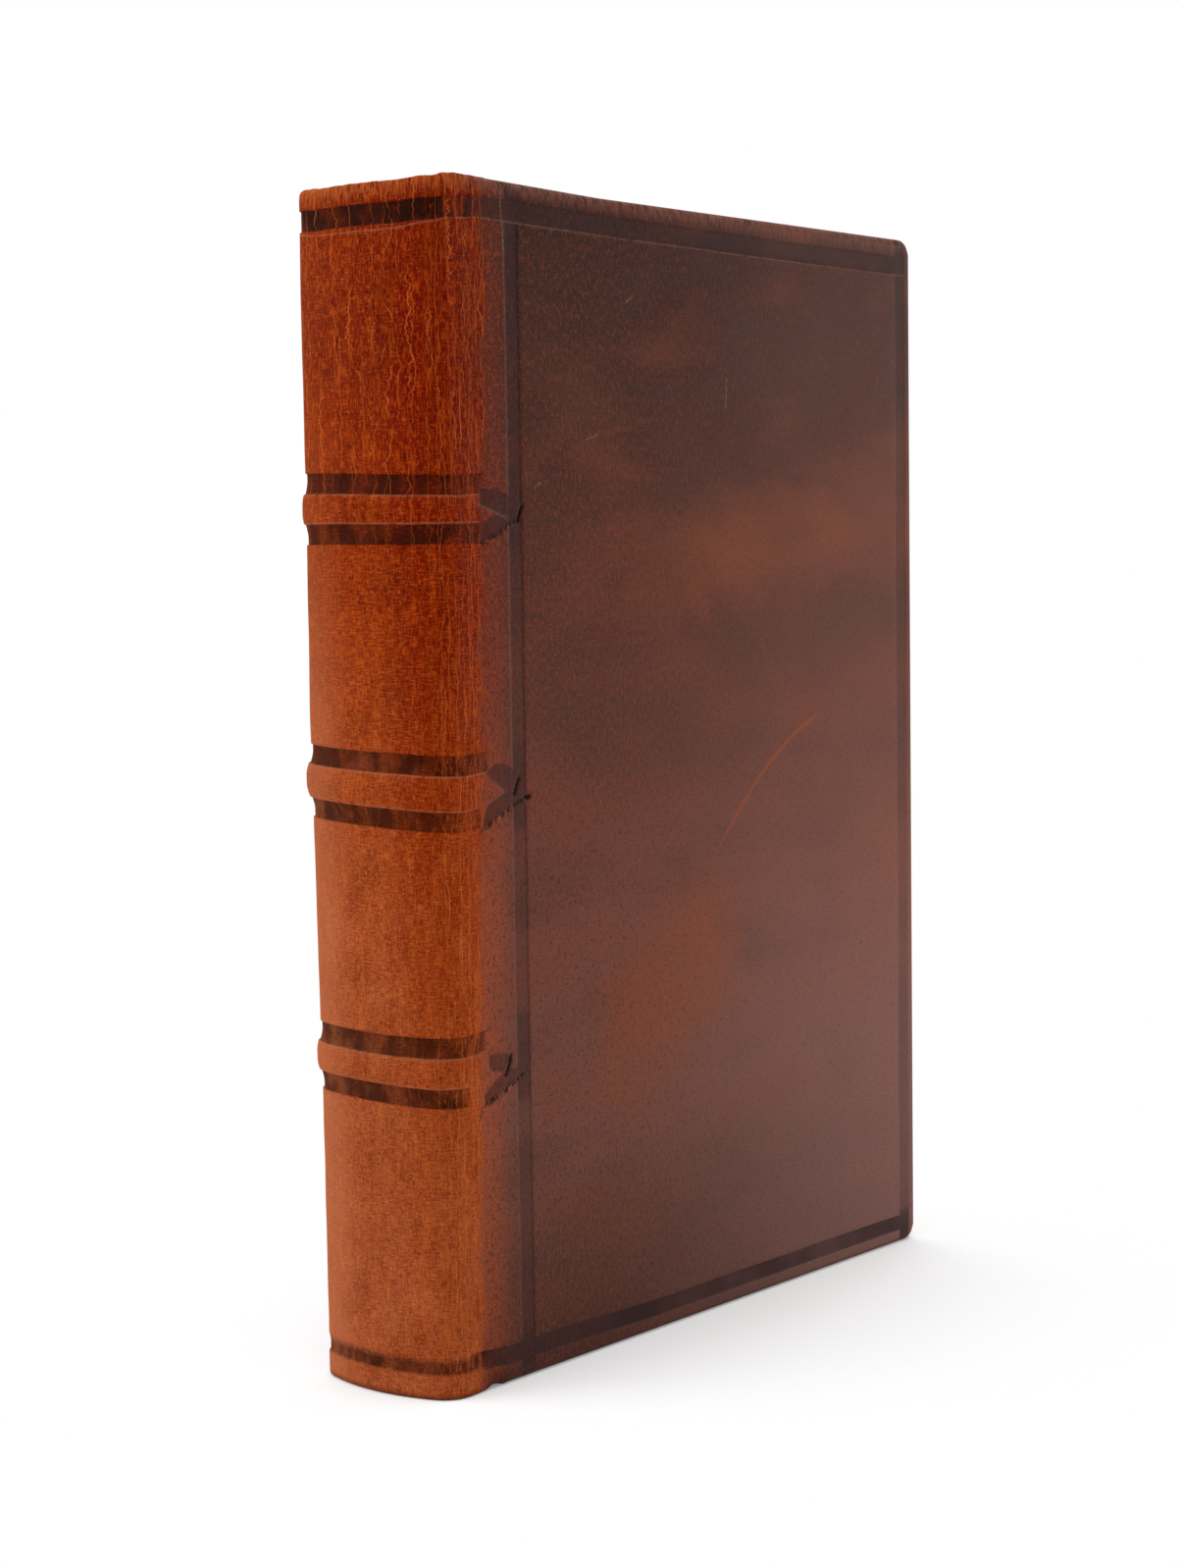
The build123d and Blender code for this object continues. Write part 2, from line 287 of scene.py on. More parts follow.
# Places along the skin: the front joint's edge, and the length round the back from joint to joint
FRONT_JOINT_S = JOINT_X - BORDER_X
BACK_LENGTH = travelled(*back_plan(np.linspace(0, 5, 400), TAIL_CORNER)[:2])[-1]


def polygon_depth(x, y, corners):
    """How far points lie inside a polygon, negative outside it."""
    inside = np.zeros(x.shape, bool)
    nearest = np.full(x.shape, 1e9)
    for (ax, ay), (bx, by) in zip(corners, corners[1:] + corners[:1]):
        nearest = np.minimum(nearest, segment_distance(x, y, (ax, ay), (bx, by)))
        crosses = (ay > y) != (by > y)
        rise = by - ay if by != ay else 1e-9
        inside ^= crosses & (x < (bx - ax) * (y - ay) / rise + ax)
    return np.where(inside, nearest, -nearest)


def segment_distance(x, y, start, end):
    """Distance from points to a straight stretch."""
    dx, dy = end[0] - start[0], end[1] - start[1]
    along = np.clip(((x - start[0]) * dx + (y - start[1]) * dy) / (dx * dx + dy * dy), 0, 1)
    return np.hypot(x - start[0] - along * dx, y - start[1] - along * dy)


def soft_noise(s, z, size, seed):
    """Smooth noise from -1 to 1 over the skin, with features of about that size."""
    flat = zip(np.ravel(s), np.ravel(z))
    values = [noise.noise((a / size, b / size, seed)) for a, b in flat]
    return np.reshape(values, np.shape(s))


def tooling(w, z):
    """Masks of the pressed lines and the painted highlights along their edges, and of the cuts and ragged
    edges at the mitres.
    """
    press, shine, slit, ragged = [np.zeros(w.shape) for _ in MASKS]
    frayed = 0.5 * soft_noise(z * 4.0, 0 * z, 2.0, 31.0)
    for height, reach in tooled_lines():
        along = smooth(reach + frayed - w, -0.6, 0.6)
        half = TOOL_HALF - 0.35 * (1 - smooth(w, -2, 8)) if height == TAIL_LINE_Z else TOOL_HALF
        line = smooth(half - np.abs(z - height), -TOOL_SOFT, TOOL_SOFT) * along
        press = np.maximum(press, line)
        # The painted highlight lies along the edge of each line that faces its band, lower under the head
        # line over the back; the tail line has none
        side = np.sign(min(BANDS, key=lambda band: abs(band["z"] - height))["z"] - height)
        edge = height + side * (TOOL_HALF + HIGHLIGHT_GAP)
        if height == HEAD_LINE_Z:
            edge = height - TOOL_HALF - HIGHLIGHT_GAP - HEAD_HIGHLIGHT_SLANT * (1 - smooth(w, -16, 2))
        if height != TAIL_LINE_Z:
            shine = np.maximum(shine, smooth(HIGHLIGHT_HALF - np.abs(z - edge), -0.1, 0.12) * along)
    for middle in (BORDER_W + TOOL_HALF, FORE_LINE_W - TOOL_HALF):
        press = np.maximum(press, smooth(TOOL_HALF - np.abs(w - middle), -0.35, 0.25))
    for band, mitre in zip(BANDS, MITRES):
        x, y = w - BORDER_W, z - band["z"]
        for stroke in mitre["strokes"]:
            press = np.maximum(press, smooth(polygon_depth(x, y, stroke), -0.25, 0.2))
        for start, end in mitre["slits"]:
            slit = np.maximum(slit, smooth(SLIT_HALF - segment_distance(x, y, start, end), -0.15, 0.15))
        # Stretches of painted highlight at the mitres
        for start, end in mitre["shine"]:
            shine = np.maximum(shine, smooth(HIGHLIGHT_HALF - segment_distance(x, y, start, end), -0.15, 0.1))
        for start, end in zip(mitre["ragged"], mitre["ragged"][1:]):
            away = segment_distance(x, y, start, end)
            ragged = np.maximum(ragged, smooth(RAGGED_HALF - away, -0.3, 0.2))
    return press, shine, slit, ragged


def band_rise(w, z):
    """How far the leather stands out over the cords, fading where the back turns into the joint."""
    rise = np.zeros(w.shape)
    for band in BANDS:
        flank = smooth(np.abs(z - band["z"]), 0.8, band["offset"] + 0.6)
        rise = np.maximum(rise, band["rise"] * (1 - flank))
    return rise * (1 - smooth(w, -7.5, 2.5))


def unevenness(s, z, w):
    """Slow waves and ripples of old leather."""
    waves = 0.12 * soft_noise(s, z, 22.0, 3.0) + 0.05 * soft_noise(s, z, 7.0, 9.0)
    fold = np.exp(-(((w + 4.5) / 4.5) ** 2))
    ripples = 0.05 * soft_noise(s * 3.0, z * 0.35, 4.0, 5.0) * (0.25 + fold)
    across = (FRONT_JOINT_S - s) / BACK_LENGTH
    fullness = np.interp(z, *zip(*FULLNESS))
    far_corner = smooth(across, 0.5, 0.85) * (1 - smooth(across, 0.93, 0.99))
    return waves + ripples + fullness * far_corner


def line_drift(s, z, w):
    """How far hand-tooled lines slant and wander, which moves the whole skin up or down with them."""
    inner = smooth(z, 2, 14) * smooth(HEIGHT - z, 2, 14)
    heights, at_front, at_back = zip(*LINE_SHIFTS)
    across = np.clip((FRONT_JOINT_S - s) / BACK_LENGTH, 0, 1)
    front, back = np.interp(z, heights, at_front), np.interp(z, heights, at_back)
    slant = (front + (back - front) * across) * (1 - smooth(w, 1, 8))
    tail_sag = np.interp(z, (0, TAIL_LINE_Z, SAG_REACH), (0, TAIL_SAG, 0))
    head_sag = np.interp(z, (HEIGHT - SAG_REACH, HEAD_LINE_Z, HEIGHT), (0, HEAD_SAG, 0))
    slant = slant - tail_sag * smooth(w, 18, 60) - head_sag * smooth(w, 30, 130)
    return slant + 0.2 * soft_noise(s, z, 16.0, 21.0) * inner


def head_lift(s, z, w):
    """How far the head edge sinks over the back, stands up at the joint and is rubbed uneven."""
    near_head = smooth(z, HEIGHT - 26, HEIGHT)
    joint = np.sin(math.pi * np.clip((w - NOTCH_W) / (JOINT_WIDTH - NOTCH_W), 0, 1)) ** 2
    at_tail = smooth(-z, -9, 0)
    stand = HEAD_STAND * (smooth(w, -5, 2.5) - np.clip(w / HEAD_FADE, 0, 1))
    stand = (stand - HEAD_SINK * (1 - smooth(w, -12, -7))) * near_head
    worn = 0.12 * soft_noise(s, 0 * s, 1.7, 2.0) * smooth(z, HEIGHT - 3, HEIGHT) * (1 - smooth(w, 2, 12))
    return stand + worn + STRIP_SETBACK * joint * at_tail


def points_at(x, y, z):
    """An array of points from arrays of their coordinates."""
    return np.stack(np.broadcast_arrays(x, y, z), axis=-1)


class Skin:
    """Points of the leather as arrays over a grid, with what the material needs at each point."""

    def __init__(self, s, z, w):
        self.s, self.z, self.w = np.broadcast_arrays(s, z, w)
        self.press, self.shine, self.slit, self.ragged = tooling(self.w, self.z)
        self.rise = band_rise(self.w, self.z)
        shallow = 1 - 0.55 * smooth(self.w, 5, 11) - 0.3 * smooth(self.w, FORE_LINE_W - 7, FORE_LINE_W - 4)
        self.height = self.rise - TOOL_DEPTH * self.press * shallow - SLIT_DEPTH * self.slit
        self.height = self.height + unevenness(self.s, self.z, self.w)
        self.drift = line_drift(self.s, self.z, self.w)
        self.lift = head_lift(self.s, self.z, self.w)

    def attributes(self):
        """Arrays to store on the mesh, flattened."""
        place = points_at(self.s, self.z, self.w).reshape(-1, 3)
        return {"skin": place} | {name: getattr(self, name).ravel() for name in MASKS}


def make_mesh(name, points, faces, attributes, *materials):
    """A mesh object from points in millimetres, with attributes stored on its points."""
    mesh = bpy.data.meshes.new(name)
    mesh.from_pydata((np.reshape(points, (-1, 3)) * MM).tolist(), [], faces)
    for key, values in attributes.items():
        kind = "FLOAT_VECTOR" if np.ndim(values) == 2 else "FLOAT"
        field = "vector" if kind == "FLOAT_VECTOR" else "value"
        layer = mesh.attributes.new(key, kind, "POINT")
        layer.data.foreach_set(field, np.ascontiguousarray(values, np.float32).ravel())
    solid = bmesh.new()
    solid.from_mesh(mesh)
    bmesh.ops.remove_doubles(solid, verts=solid.verts, dist=0.002 * MM)
    bmesh.ops.recalc_face_normals(solid, faces=solid.faces)
    for face in solid.faces:
        face.smooth = len(face.verts) == 4
        if len(face.verts) > 4:
            for edge in face.edges:
                edge.smooth = False
    solid.to_mesh(mesh)
    solid.free()
    for material in materials:
        mesh.materials.append(material)
    made = bpy.data.objects.new(name, mesh)
    bpy.context.scene.collection.objects.link(made)
    return made


def tube_faces(rings, count):
    """Quads between closed rings of points, with both ends capped."""
    faces = []
    for ring in range(rings - 1):
        base, above = ring * count, (ring + 1) * count
        for k in range(count):
            nxt = (k + 1) % count
            faces.append((base + k, base + nxt, above + nxt, above + k))
    faces.append(tuple(range(count)))
    faces.append(tuple(range((rings - 1) * count, rings * count)))
    return faces


def spine_loop():
    """The section of the spine's skin as (depth, height, share of relief), outside first, then the lip and
    turn-in at the head, the inside, and the turn-in and lip at the tail."""
    outside = [(0.0, row, 1.0) for row in ROWS]
    angles = np.linspace(0, math.pi / 2, LIP_STEPS)
    lip = [(HEADCAP_ROUND * (1 - math.cos(a)), HEIGHT - HEADCAP_ROUND * (1 - math.sin(a))) for a in angles]
    shares = np.linspace(0.8, 0.0, len(lip))
    over = [(depth, height, share) for (depth, height), share in zip(lip, shares)]
    over += [(LINER_DEPTH - depth, height, 0.0) for depth, height in lip[::-1]]
    pocket = LINER_DEPTH - TURN_IN_LEATHER
    over += [
        (LINER_DEPTH, HEIGHT - TURN_IN, 0.0),
        (pocket, HEIGHT - TURN_IN, 0.0),
        (pocket, HEIGHT - LEATHER, 0.0),
        (LEATHER, HEIGHT - LEATHER, 0.0),
    ]
    under = [(depth, HEIGHT - height, share) for depth, height, share in over][::-1]
    inside_rows = [row for row in ROWS[::4] if LEATHER < row < HEIGHT - LEATHER]
    inside = [(LEATHER, row, 0.0) for row in inside_rows[::-1]]
    return outside + over + inside + under


def build_spine(material):
    """The skin over the back, moulded over the cords and turned in at head and tail."""
    stretches = [np.linspace(k, k + 1, count + 1)[1:] for k, count in enumerate(BACK_COLUMNS)]
    tau = np.concatenate([[0.0]] + stretches)
    loop = np.array(spine_loop())
    depth, z, share = loop[:, 0], loop[:, 1], loop[:, 2]
    travel = travelled(*back_plan(tau, TAIL_CORNER)[:2])
    s = FRONT_JOINT_S - travel[:, None] + 0 * z[None, :]
    w = -np.minimum(travel, travel[-1] - travel)[:, None] + 0 * z[None, :]
    skin = Skin(s, np.clip(z, 0, HEIGHT)[None, :] + 0 * s, w)
    corner = TAIL_CORNER + (HEAD_CORNER - TAIL_CORNER) * smooth(z, 150, HEIGHT)
    x, y, nx, ny = back_plan(tau[:, None] + 0 * z[None, :], corner[None, :] + 0 * s)
    inner_lift = np.where(depth == LEATHER, 1.0, 0.0)[None, :] * skin.rise
    out = skin.height * share[None, :] + inner_lift - depth[None, :]
    points = points_at(x + nx * out, y + ny * out, z + skin.drift * share + skin.lift)
    made = make_mesh("spine_skin", points, tube_faces(len(tau), len(z)), skin.attributes(), material)
    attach(made, "binding")
    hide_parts("spine_leather")


def skin_place(side, x):
    """Distances along the skin, and from the edge of the joint, of points on one cover or joint."""
    w = x - JOINT_X
    if side == "front":
        return x - BORDER_X, w
    return FRONT_JOINT_S - BACK_LENGTH - w, w


def joint_dip(w):
    """How far the joint's leather sinks between the back and the board."""
    return JOINT_DIP * np.sin(math.pi * np.clip(w / JOINT_WIDTH, 0, 1)) ** 2


def build_strip(side, material, lining):
    """The flexible strip of skin that a cover swings on, lined with paper on its inner face. Its lip rounds
    over from the spine's lip to the cover's edge."""
    sign = SIGNS[side]
    x = spread(JOINT_X, BOARD_X, 0.4)
    s, w = skin_place(side, x)
    round_radius = HEADCAP_ROUND + (OUTER_ROUND - HEADCAP_ROUND) * smooth(w, 0, w[-1])
    outside = [(0.0, row, 1.0, 0.0) for row in ROWS]
    turns = [(0.0, HEIGHT, 0.6 * (1 - k / 6), k / 6) for k in range(1, 7)]
    over = turns + [(LEATHER, HEIGHT - 0.1, 0.0, 0.0)]
    under = [(depth, HEIGHT - height, share, -turn) for depth, height, share, turn in over][::-1]
    inside = [(LEATHER, row, 0.0, 0.0) for row in ROWS[::4][::-1]]
    loop = np.array(outside + over + inside + under)
    depth, z, share, turn = loop.T
    angle = np.abs(turn) * math.pi / 2
    lip_depth = np.minimum(round_radius[:, None] * (1 - np.cos(angle)), LEATHER - 0.05)
    lip_drop = round_radius[:, None] * (1 - np.sin(angle)) * np.sign(turn)
    depth = depth[None, :] + lip_depth * (turn != 0)
    z = z[None, :] - lip_drop
    grid = np.zeros((len(x), len(share)))
    skin = Skin(s[:, None] + grid, z, w[:, None] + grid)
    out = (skin.height - joint_dip(skin.w)) * share[None, :] - depth
    points = points_at(x[:, None], sign * (HALF + out), z + skin.drift * share + skin.lift)
    faces = tube_faces(len(x), len(share))
    made = make_mesh(side + "_joint_skin", points, faces, skin.attributes(), material, lining)
    inner_y = HALF - LEATHER
    for face in made.data.polygons:
        if abs(abs(face.center.y / MM) - inner_y) < 0.05:
            face.material_index = 1
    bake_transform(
        made,
        "binding",
        side + "_cover",
        (JOINT_X * MM, sign * HALF * MM, HEIGHT / 2 * MM),
        (BOARD_X * MM, sign * HALF * MM, HEIGHT / 2 * MM),
    )
    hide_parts(side + "_joint_leather")


def cover_columns():
    """Places across a cover's outer face, close together at the lines and the mitres."""
    edges = []
    for middle in (BORDER_W + TOOL_HALF, FORE_LINE_W - TOOL_HALF):
        for edge in (middle - TOOL_HALF, middle + TOOL_HALF):
            edges += [edge - TOOL_SOFT, edge, edge + TOOL_SOFT]
    edges = np.array(edges) + JOINT_X
    near = spread(BOARD_X, BOARD_X + MITRE_REACH, 0.4)
    field = spread(BOARD_X + MITRE_REACH, FORE_X - FORE_REACH, FIELD_STEP)
    far = spread(FORE_X - FORE_REACH, FORE_X - CORNER_RADIUS, 0.6)
    corner = spread(FORE_X - CORNER_RADIUS, FORE_X - FACE_INSET, 0.38)
    fill = [v for v in np.concatenate([near, field, far, corner]) if np.min(np.abs(edges - v)) > 0.2]
    inside = thinned(list(edges) + fill, 0.1)
    inside = [v for v in inside if BOARD_X + 0.1 < v < FORE_X - FACE_INSET - 0.1]
    return np.array([BOARD_X] + inside + [FORE_X - FACE_INSET])


def rounded_corners(x, z):
    """Moves grid points near the two fore corners on to round arcs."""
    reach = CORNER_RADIUS - FACE_INSET
    px = np.clip((x - (FORE_X - CORNER_RADIUS)) / reach, 0, 1)
    up = np.clip((z - (HEIGHT - CORNER_RADIUS)) / reach, 0, 1)
    down = np.clip((CORNER_RADIUS - z) / reach, 0, 1)
    pz = up + down
    moved_x = x - px * reach + px * reach * np.sqrt(1 - pz**2 / 2)
    moved_z = z - (up - down) * reach + (up - down) * reach * np.sqrt(1 - px**2 / 2)
    return moved_x, moved_z


def rim_profile():
    """The section round a cover's edge as (inset from the edge, depth from the outside), outside first."""
    angles = np.linspace(0, math.pi / 2, 7)
    outer = [(OUTER_ROUND * (1 - math.sin(a)), OUTER_ROUND * (1 - math.cos(a))) for a in angles]
    angles = np.linspace(0, math.pi / 2, 5)
    low = COVER_THICKNESS - INNER_ROUND
    inner = [(INNER_ROUND * (1 - math.cos(a)), low + INNER_ROUND * math.sin(a)) for a in angles]
    flat = COVER_THICKNESS
    turn_in = [(inset, flat) for inset in (*FLAP_ROWS, TURN_IN)] + [(TURN_IN, flat - TURN_IN_LEATHER)]
    hollow = [(LEATHER, flat - TURN_IN_LEATHER), (LEATHER, LEATHER)]
    return outer + inner + turn_in + hollow


def cover_rim(side, edge_x, edge_z):
    """Rings of points, with their skin, round the three free edges of a cover, from its outer face to the
    hollow for the board. The flaps at head and tail lie a little under the one at the fore edge."""
    centre_x = np.minimum(edge_x, FORE_X - CORNER_RADIUS)
    centre_z = np.clip(edge_z, CORNER_RADIUS, HEIGHT - CORNER_RADIUS)
    dx, dz = edge_x - centre_x, edge_z - centre_z
    length = np.hypot(dx, dz)
    out_x, out_z = dx / length, dz / length
    in_corner = (out_x > 1e-6) & (np.abs(out_z) > 1e-6)
    travel = 0.0
    before = (FACE_INSET, 0.0)
    for inset, depth in rim_profile():
        travel += math.hypot(inset - before[0], depth - before[1])
        before = (inset, depth)
        radial = CORNER_RADIUS - inset
        ring_x = centre_x + out_x * radial
        ring_z = centre_z + out_z * radial
        if radial < 0:
            ring_x = np.where(in_corner, centre_x + radial, ring_x)
            ring_z = np.where(in_corner, centre_z + np.sign(out_z) * radial, ring_z)
        s, w = skin_place(side, edge_x + out_x * travel)
        rim = Skin(s, edge_z + out_z * travel, w)
        under = FLAP_STEP * np.abs(out_z) if inset >= FLAP_ROWS[0] else 0.0
        yield points_at(ring_x, SIGNS[side] * (HALF - depth + under), ring_z + rim.lift), rim


def build_cover(side, material):
    """The skin over one board, wrapped round its three free edges and turned in."""
    x, z = np.meshgrid(cover_columns(), ROWS, indexing="ij")
    s, w = skin_place(side, x)
    face = Skin(s, z, w)
    moved_x, moved_z = rounded_corners(x, z)
    edge_near = np.minimum(np.minimum(z, HEIGHT - z), FORE_X - x)
    keep = smooth(edge_near, FACE_INSET, FACE_INSET + 1.5)
    lift = face.height * np.where(face.press > 0.02, 1.0, keep)
    moved_z = moved_z + face.drift * keep
    points = [points_at(moved_x, SIGNS[side] * (HALF + lift), moved_z + face.lift).reshape(-1, 3)]
    places = [face.attributes()]
    index = np.arange(x.size).reshape(x.shape)
    quads = np.stack([index[:-1, :-1], index[1:, :-1], index[1:, 1:], index[:-1, 1:]], axis=-1)
    faces = quads.reshape(-1, 4).tolist()
    border = np.concatenate([index[:, 0], index[-1, 1:], index[-2::-1, -1]])
    count = len(border)
    rings = [border]
    for ring, rim in cover_rim(side, moved_x.ravel()[border], moved_z.ravel()[border]):
        rings.append(np.arange(count) + x.size + count * (len(rings) - 1))
        points.append(ring)
        places.append(rim.attributes())
    for near, far in zip(rings, rings[1:]):
        faces += [(near[k], near[k + 1], far[k + 1], far[k]) for k in range(count - 1)]
    faces.append(tuple(rings[-1]))
    head_end = [ring[-1] for ring in rings[1:]]
    tail_end = [ring[0] for ring in rings[1:]]
    faces.append(tuple(index[0, :]) + tuple(head_end) + tuple(tail_end[::-1]))
    attributes = {key: np.concatenate([place[key] for place in places]) for key in places[0]}
    made = make_mesh(side + "_cover_skin", np.concatenate(points), faces, attributes, material)
    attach(made, side + "_cover")
    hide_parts(side + "_cover_leather")


# The cords: half their height, where they start and end round the back, and how far they thin out there
CORD_HALF = 1.7
CORD_START = 1.3
CORD_END = 3.7
CORD_FADE = 0.5


def build_cords(material):
    """The cords under the raised bands, which follow the slant of the tooled lines."""
    names = ("raised_band_lower", "raised_band_middle", "raised_band_upper")
    tau = np.linspace(CORD_START, CORD_END, 61)
    angles = np.linspace(0, 2 * math.pi, 13)[:-1]
    x, y, nx, ny = back_plan(tau, TAIL_CORNER)
    travel = travelled(x, y)
    s = FRONT_JOINT_S - (BACK_LENGTH - travel[-1]) / 2 - travel
    for band, name in zip(BANDS, names):
        z = band["z"] + CORD_HALF * np.sin(angles)[None, :] + 0 * tau[:, None]
        fade = np.minimum(1, np.minimum(tau - CORD_START, CORD_END - tau) / CORD_FADE)[:, None]
        depth = LEATHER + 0.1 - band["rise"] * 0.6 * fade * np.clip(np.cos(angles), 0, 1)[None, :]
        z = z + line_drift(s[:, None] + 0 * z, z, -1.0 + 0 * z)
        points = points_at(x[:, None] - nx[:, None] * depth, y[:, None] - ny[:, None] * depth, z)
        made = make_mesh(name + "_cord", points, tube_faces(len(tau), len(angles)), {}, material)
        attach(made, "binding")
        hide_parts(name)


# The leaves
BLOCK_LOW, BLOCK_HIGH = node_box("text_block")
BLOCK_DEPTH = BLOCK_LOW[0] - CROWN_X
BLOCK_RADIUS = BACK_RADIUS - BLOCK_DEPTH
SHOULDER_HALF = BLOCK_HIGH[1]
LEAF_HALF = 12.5
SHOULDER_END_X = BOARD_X - 0.3
SHOULDER_LENGTH = 8.0
GATHERING = 1.5
# Share of a leaf's width, next to the back, where its points are close together
BACK_SHARE = 0.14


def leaf_half(x):
    """Half thickness of the block, which spreads into the shoulders near the back."""
    spread_out = 1 - smooth(x, SHOULDER_END_X - SHOULDER_LENGTH, SHOULDER_END_X)
    return LEAF_HALF + (SHOULDER_HALF - LEAF_HALF) * spread_out


def leaf_ends(leaf):
    """Where each leaf starts at the rounded back and where it ends at the hollow fore edge."""
    corner = TAIL_CORNER - BLOCK_DEPTH
    corner_y = SHOULDER_HALF - corner
    corner_x = BACK_CENTRE_X - math.sqrt((BLOCK_RADIUS - corner) ** 2 - corner_y**2)
    y_back = leaf / LEAF_HALF * SHOULDER_HALF
    arc = BACK_CENTRE_X - np.sqrt(np.maximum(BLOCK_RADIUS**2 - y_back**2, 0))
    over = np.clip(np.abs(y_back) - corner_y, 0, corner)
    bend = corner_x - np.sqrt(np.maximum(corner**2 - over**2, 0))
    hollow = np.sqrt(BLOCK_RADIUS**2 - leaf**2) - math.sqrt(BLOCK_RADIUS**2 - LEAF_HALF**2)
    return np.where(over > 0, np.maximum(arc, bend), arc), BLOCK_HIGH[0] - hollow


def leaf_faces(leaves, count, columns):
    """Faces over the cut edges, which have that many points to a leaf, then over the two outer sheets."""
    faces = tube_faces(leaves, count)[:-2]
    for base in (0, (leaves - 1) * count):
        for k in range(columns - 2):
            faces.append((base + k, base + k + 1, base + count - 2 - k, base + count - 1 - k))
        faces.append(tuple(base + k for k in range(columns - 2, count - columns + 2)))
    return faces


def build_leaves(edges, sheet):
    """The block of leaves: rounded and backed, with gatherings that differ a little at the cut edges."""
    leaf = spread(-LEAF_HALF, LEAF_HALF, GATHERING / 8)
    t = leaf[:, None] / LEAF_HALF
    x_back, x_fore = [end[:, None] for end in leaf_ends(leaf)]
    share = np.concatenate([np.linspace(0, BACK_SHARE, 15), np.linspace(BACK_SHARE, 1, 14)[1:]])
    fall = np.linspace(0, 1, 16)[1:-1]
    fold = (np.abs(np.mod(leaf / GATHERING, 1.0) - 0.5) * 2) ** 4
    step = np.array([noise.noise((k * 7.7, 0.4, 0.0)) for k in np.floor(leaf / GATHERING)])
    rough = np.array([noise.noise((k * 1.9, 5.5, 0.0)) for k in np.arange(len(leaf))])
    drop = (0.12 + 0.1 * fold + 0.1 * step + 0.05 * rough)[:, None]
    dent = (0.1 + 0.1 * fold + 0.09 * step[::-1] + 0.05 * rough)[:, None]
    top, bottom = BLOCK_HIGH[2], BLOCK_LOW[2]
    x = x_back + (x_fore - x_back) * share
    y = t * leaf_half(x)
    wave = 0.08 * soft_noise(x + 40 * t, 0 * x, 14.0, 4.0)
    head = points_at(x, y, top - np.clip(drop + wave, 0, 1))
    tail = points_at(x, y, bottom + np.clip(drop - wave, 0, 1))
    z_fore = top - fall * (top - bottom) + 0 * x_fore
    sway = 0.1 * soft_noise(z_fore, 30 * t + 0 * z_fore, 30.0, 6.0)
    fore = points_at(x_fore - np.clip(dent + sway, 0, 1), leaf[:, None], z_fore)
    rings = np.concatenate([head, fore, tail[:, ::-1]], axis=1)
    count, columns = rings.shape[1], len(share)
    faces = leaf_faces(len(leaf), count, columns)
    made = make_mesh("leaves", rings, faces, {"leaf": np.repeat(leaf, count)}, edges, sheet)
    made.data.set_sharp_from_angle(angle=math.radians(35))
    sides = (columns - 1) * 2
    for face in made.data.polygons[len(made.data.polygons) - sides :]:
        face.material_index = 1
    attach(made, "binding")
    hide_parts("text_block")


# The headbands: turns of thread, half thickness outward and upward, and inset from the leaves' back
HEADBAND_TURNS = 26
HEADBAND_OUT = 1.1
HEADBAND_UP = 1.08
HEADBAND_INSET = 1.25


def build_headband(end, material):
    """A headband: two threads sewn over a core along the end of the leaves."""
    low, high = node_box("headband_" + end)
    half_angle = math.asin((high[1] - low[1]) / 2 / (BLOCK_RADIUS - 0.1))
    turns = HEADBAND_TURNS
    turn = np.linspace(0, turns, turns * 6 + 1)
    around = np.linspace(0, 2 * math.pi, 15)[:-1]
    slant = turn[:, None] + 0.35 * np.sin(around)[None, :]
    swell = 1.0 - 0.13 * np.abs(np.mod(slant, 1.0) - 0.5) ** 2 * 4
    ends = np.minimum(1, np.minimum(turn, turns - turn) / 0.6)[:, None]
    swell = swell * (0.55 + 0.45 * np.sqrt(np.clip(ends, 0, 1)))
    angle = (turn / turns * 2 - 1)[:, None] * half_angle
    away = BLOCK_RADIUS - HEADBAND_INSET + HEADBAND_OUT * swell * np.cos(around)[None, :]
    z = (low[2] + high[2]) / 2 + HEADBAND_UP * swell * np.sin(around)[None, :]
    points = points_at(BACK_CENTRE_X - away * np.cos(angle), away * np.sin(angle), z)
    faces = tube_faces(len(turn), len(around))
    made = make_mesh("headband_" + end + "_thread", points, faces, {"turn": slant.ravel()}, material)
    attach(made, "binding")
    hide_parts("headband_" + end)


def srgb(red, green, blue):
    """A colour given by its 0 to 255 screen values, as the linear colour that shaders take."""
    channels = [value / 255 for value in (red, green, blue)]
    linear = [c / 12.92 if c <= 0.04045 else ((c + 0.055) / 1.055) ** 2.4 for c in channels]
    return (*linear, 1.0)


class Field:
    """A number that varies over a surface, worked out by shader nodes."""

    def __init__(self, nodes, socket):
        self.nodes, self.socket = nodes, socket

    def __add__(self, other):
        return self.nodes.math("ADD", self, other)

    def __sub__(self, other):
        return self.nodes.math("SUBTRACT", self, other)

    def __rsub__(self, other):
        return self.nodes.math("SUBTRACT", other, self)

    def __mul__(self, other):
        return self.nodes.math("MULTIPLY", self, other)

    def __abs__(self):
        return self.nodes.math("ABSOLUTE", self)

    __radd__ = __add__
    __rmul__ = __mul__


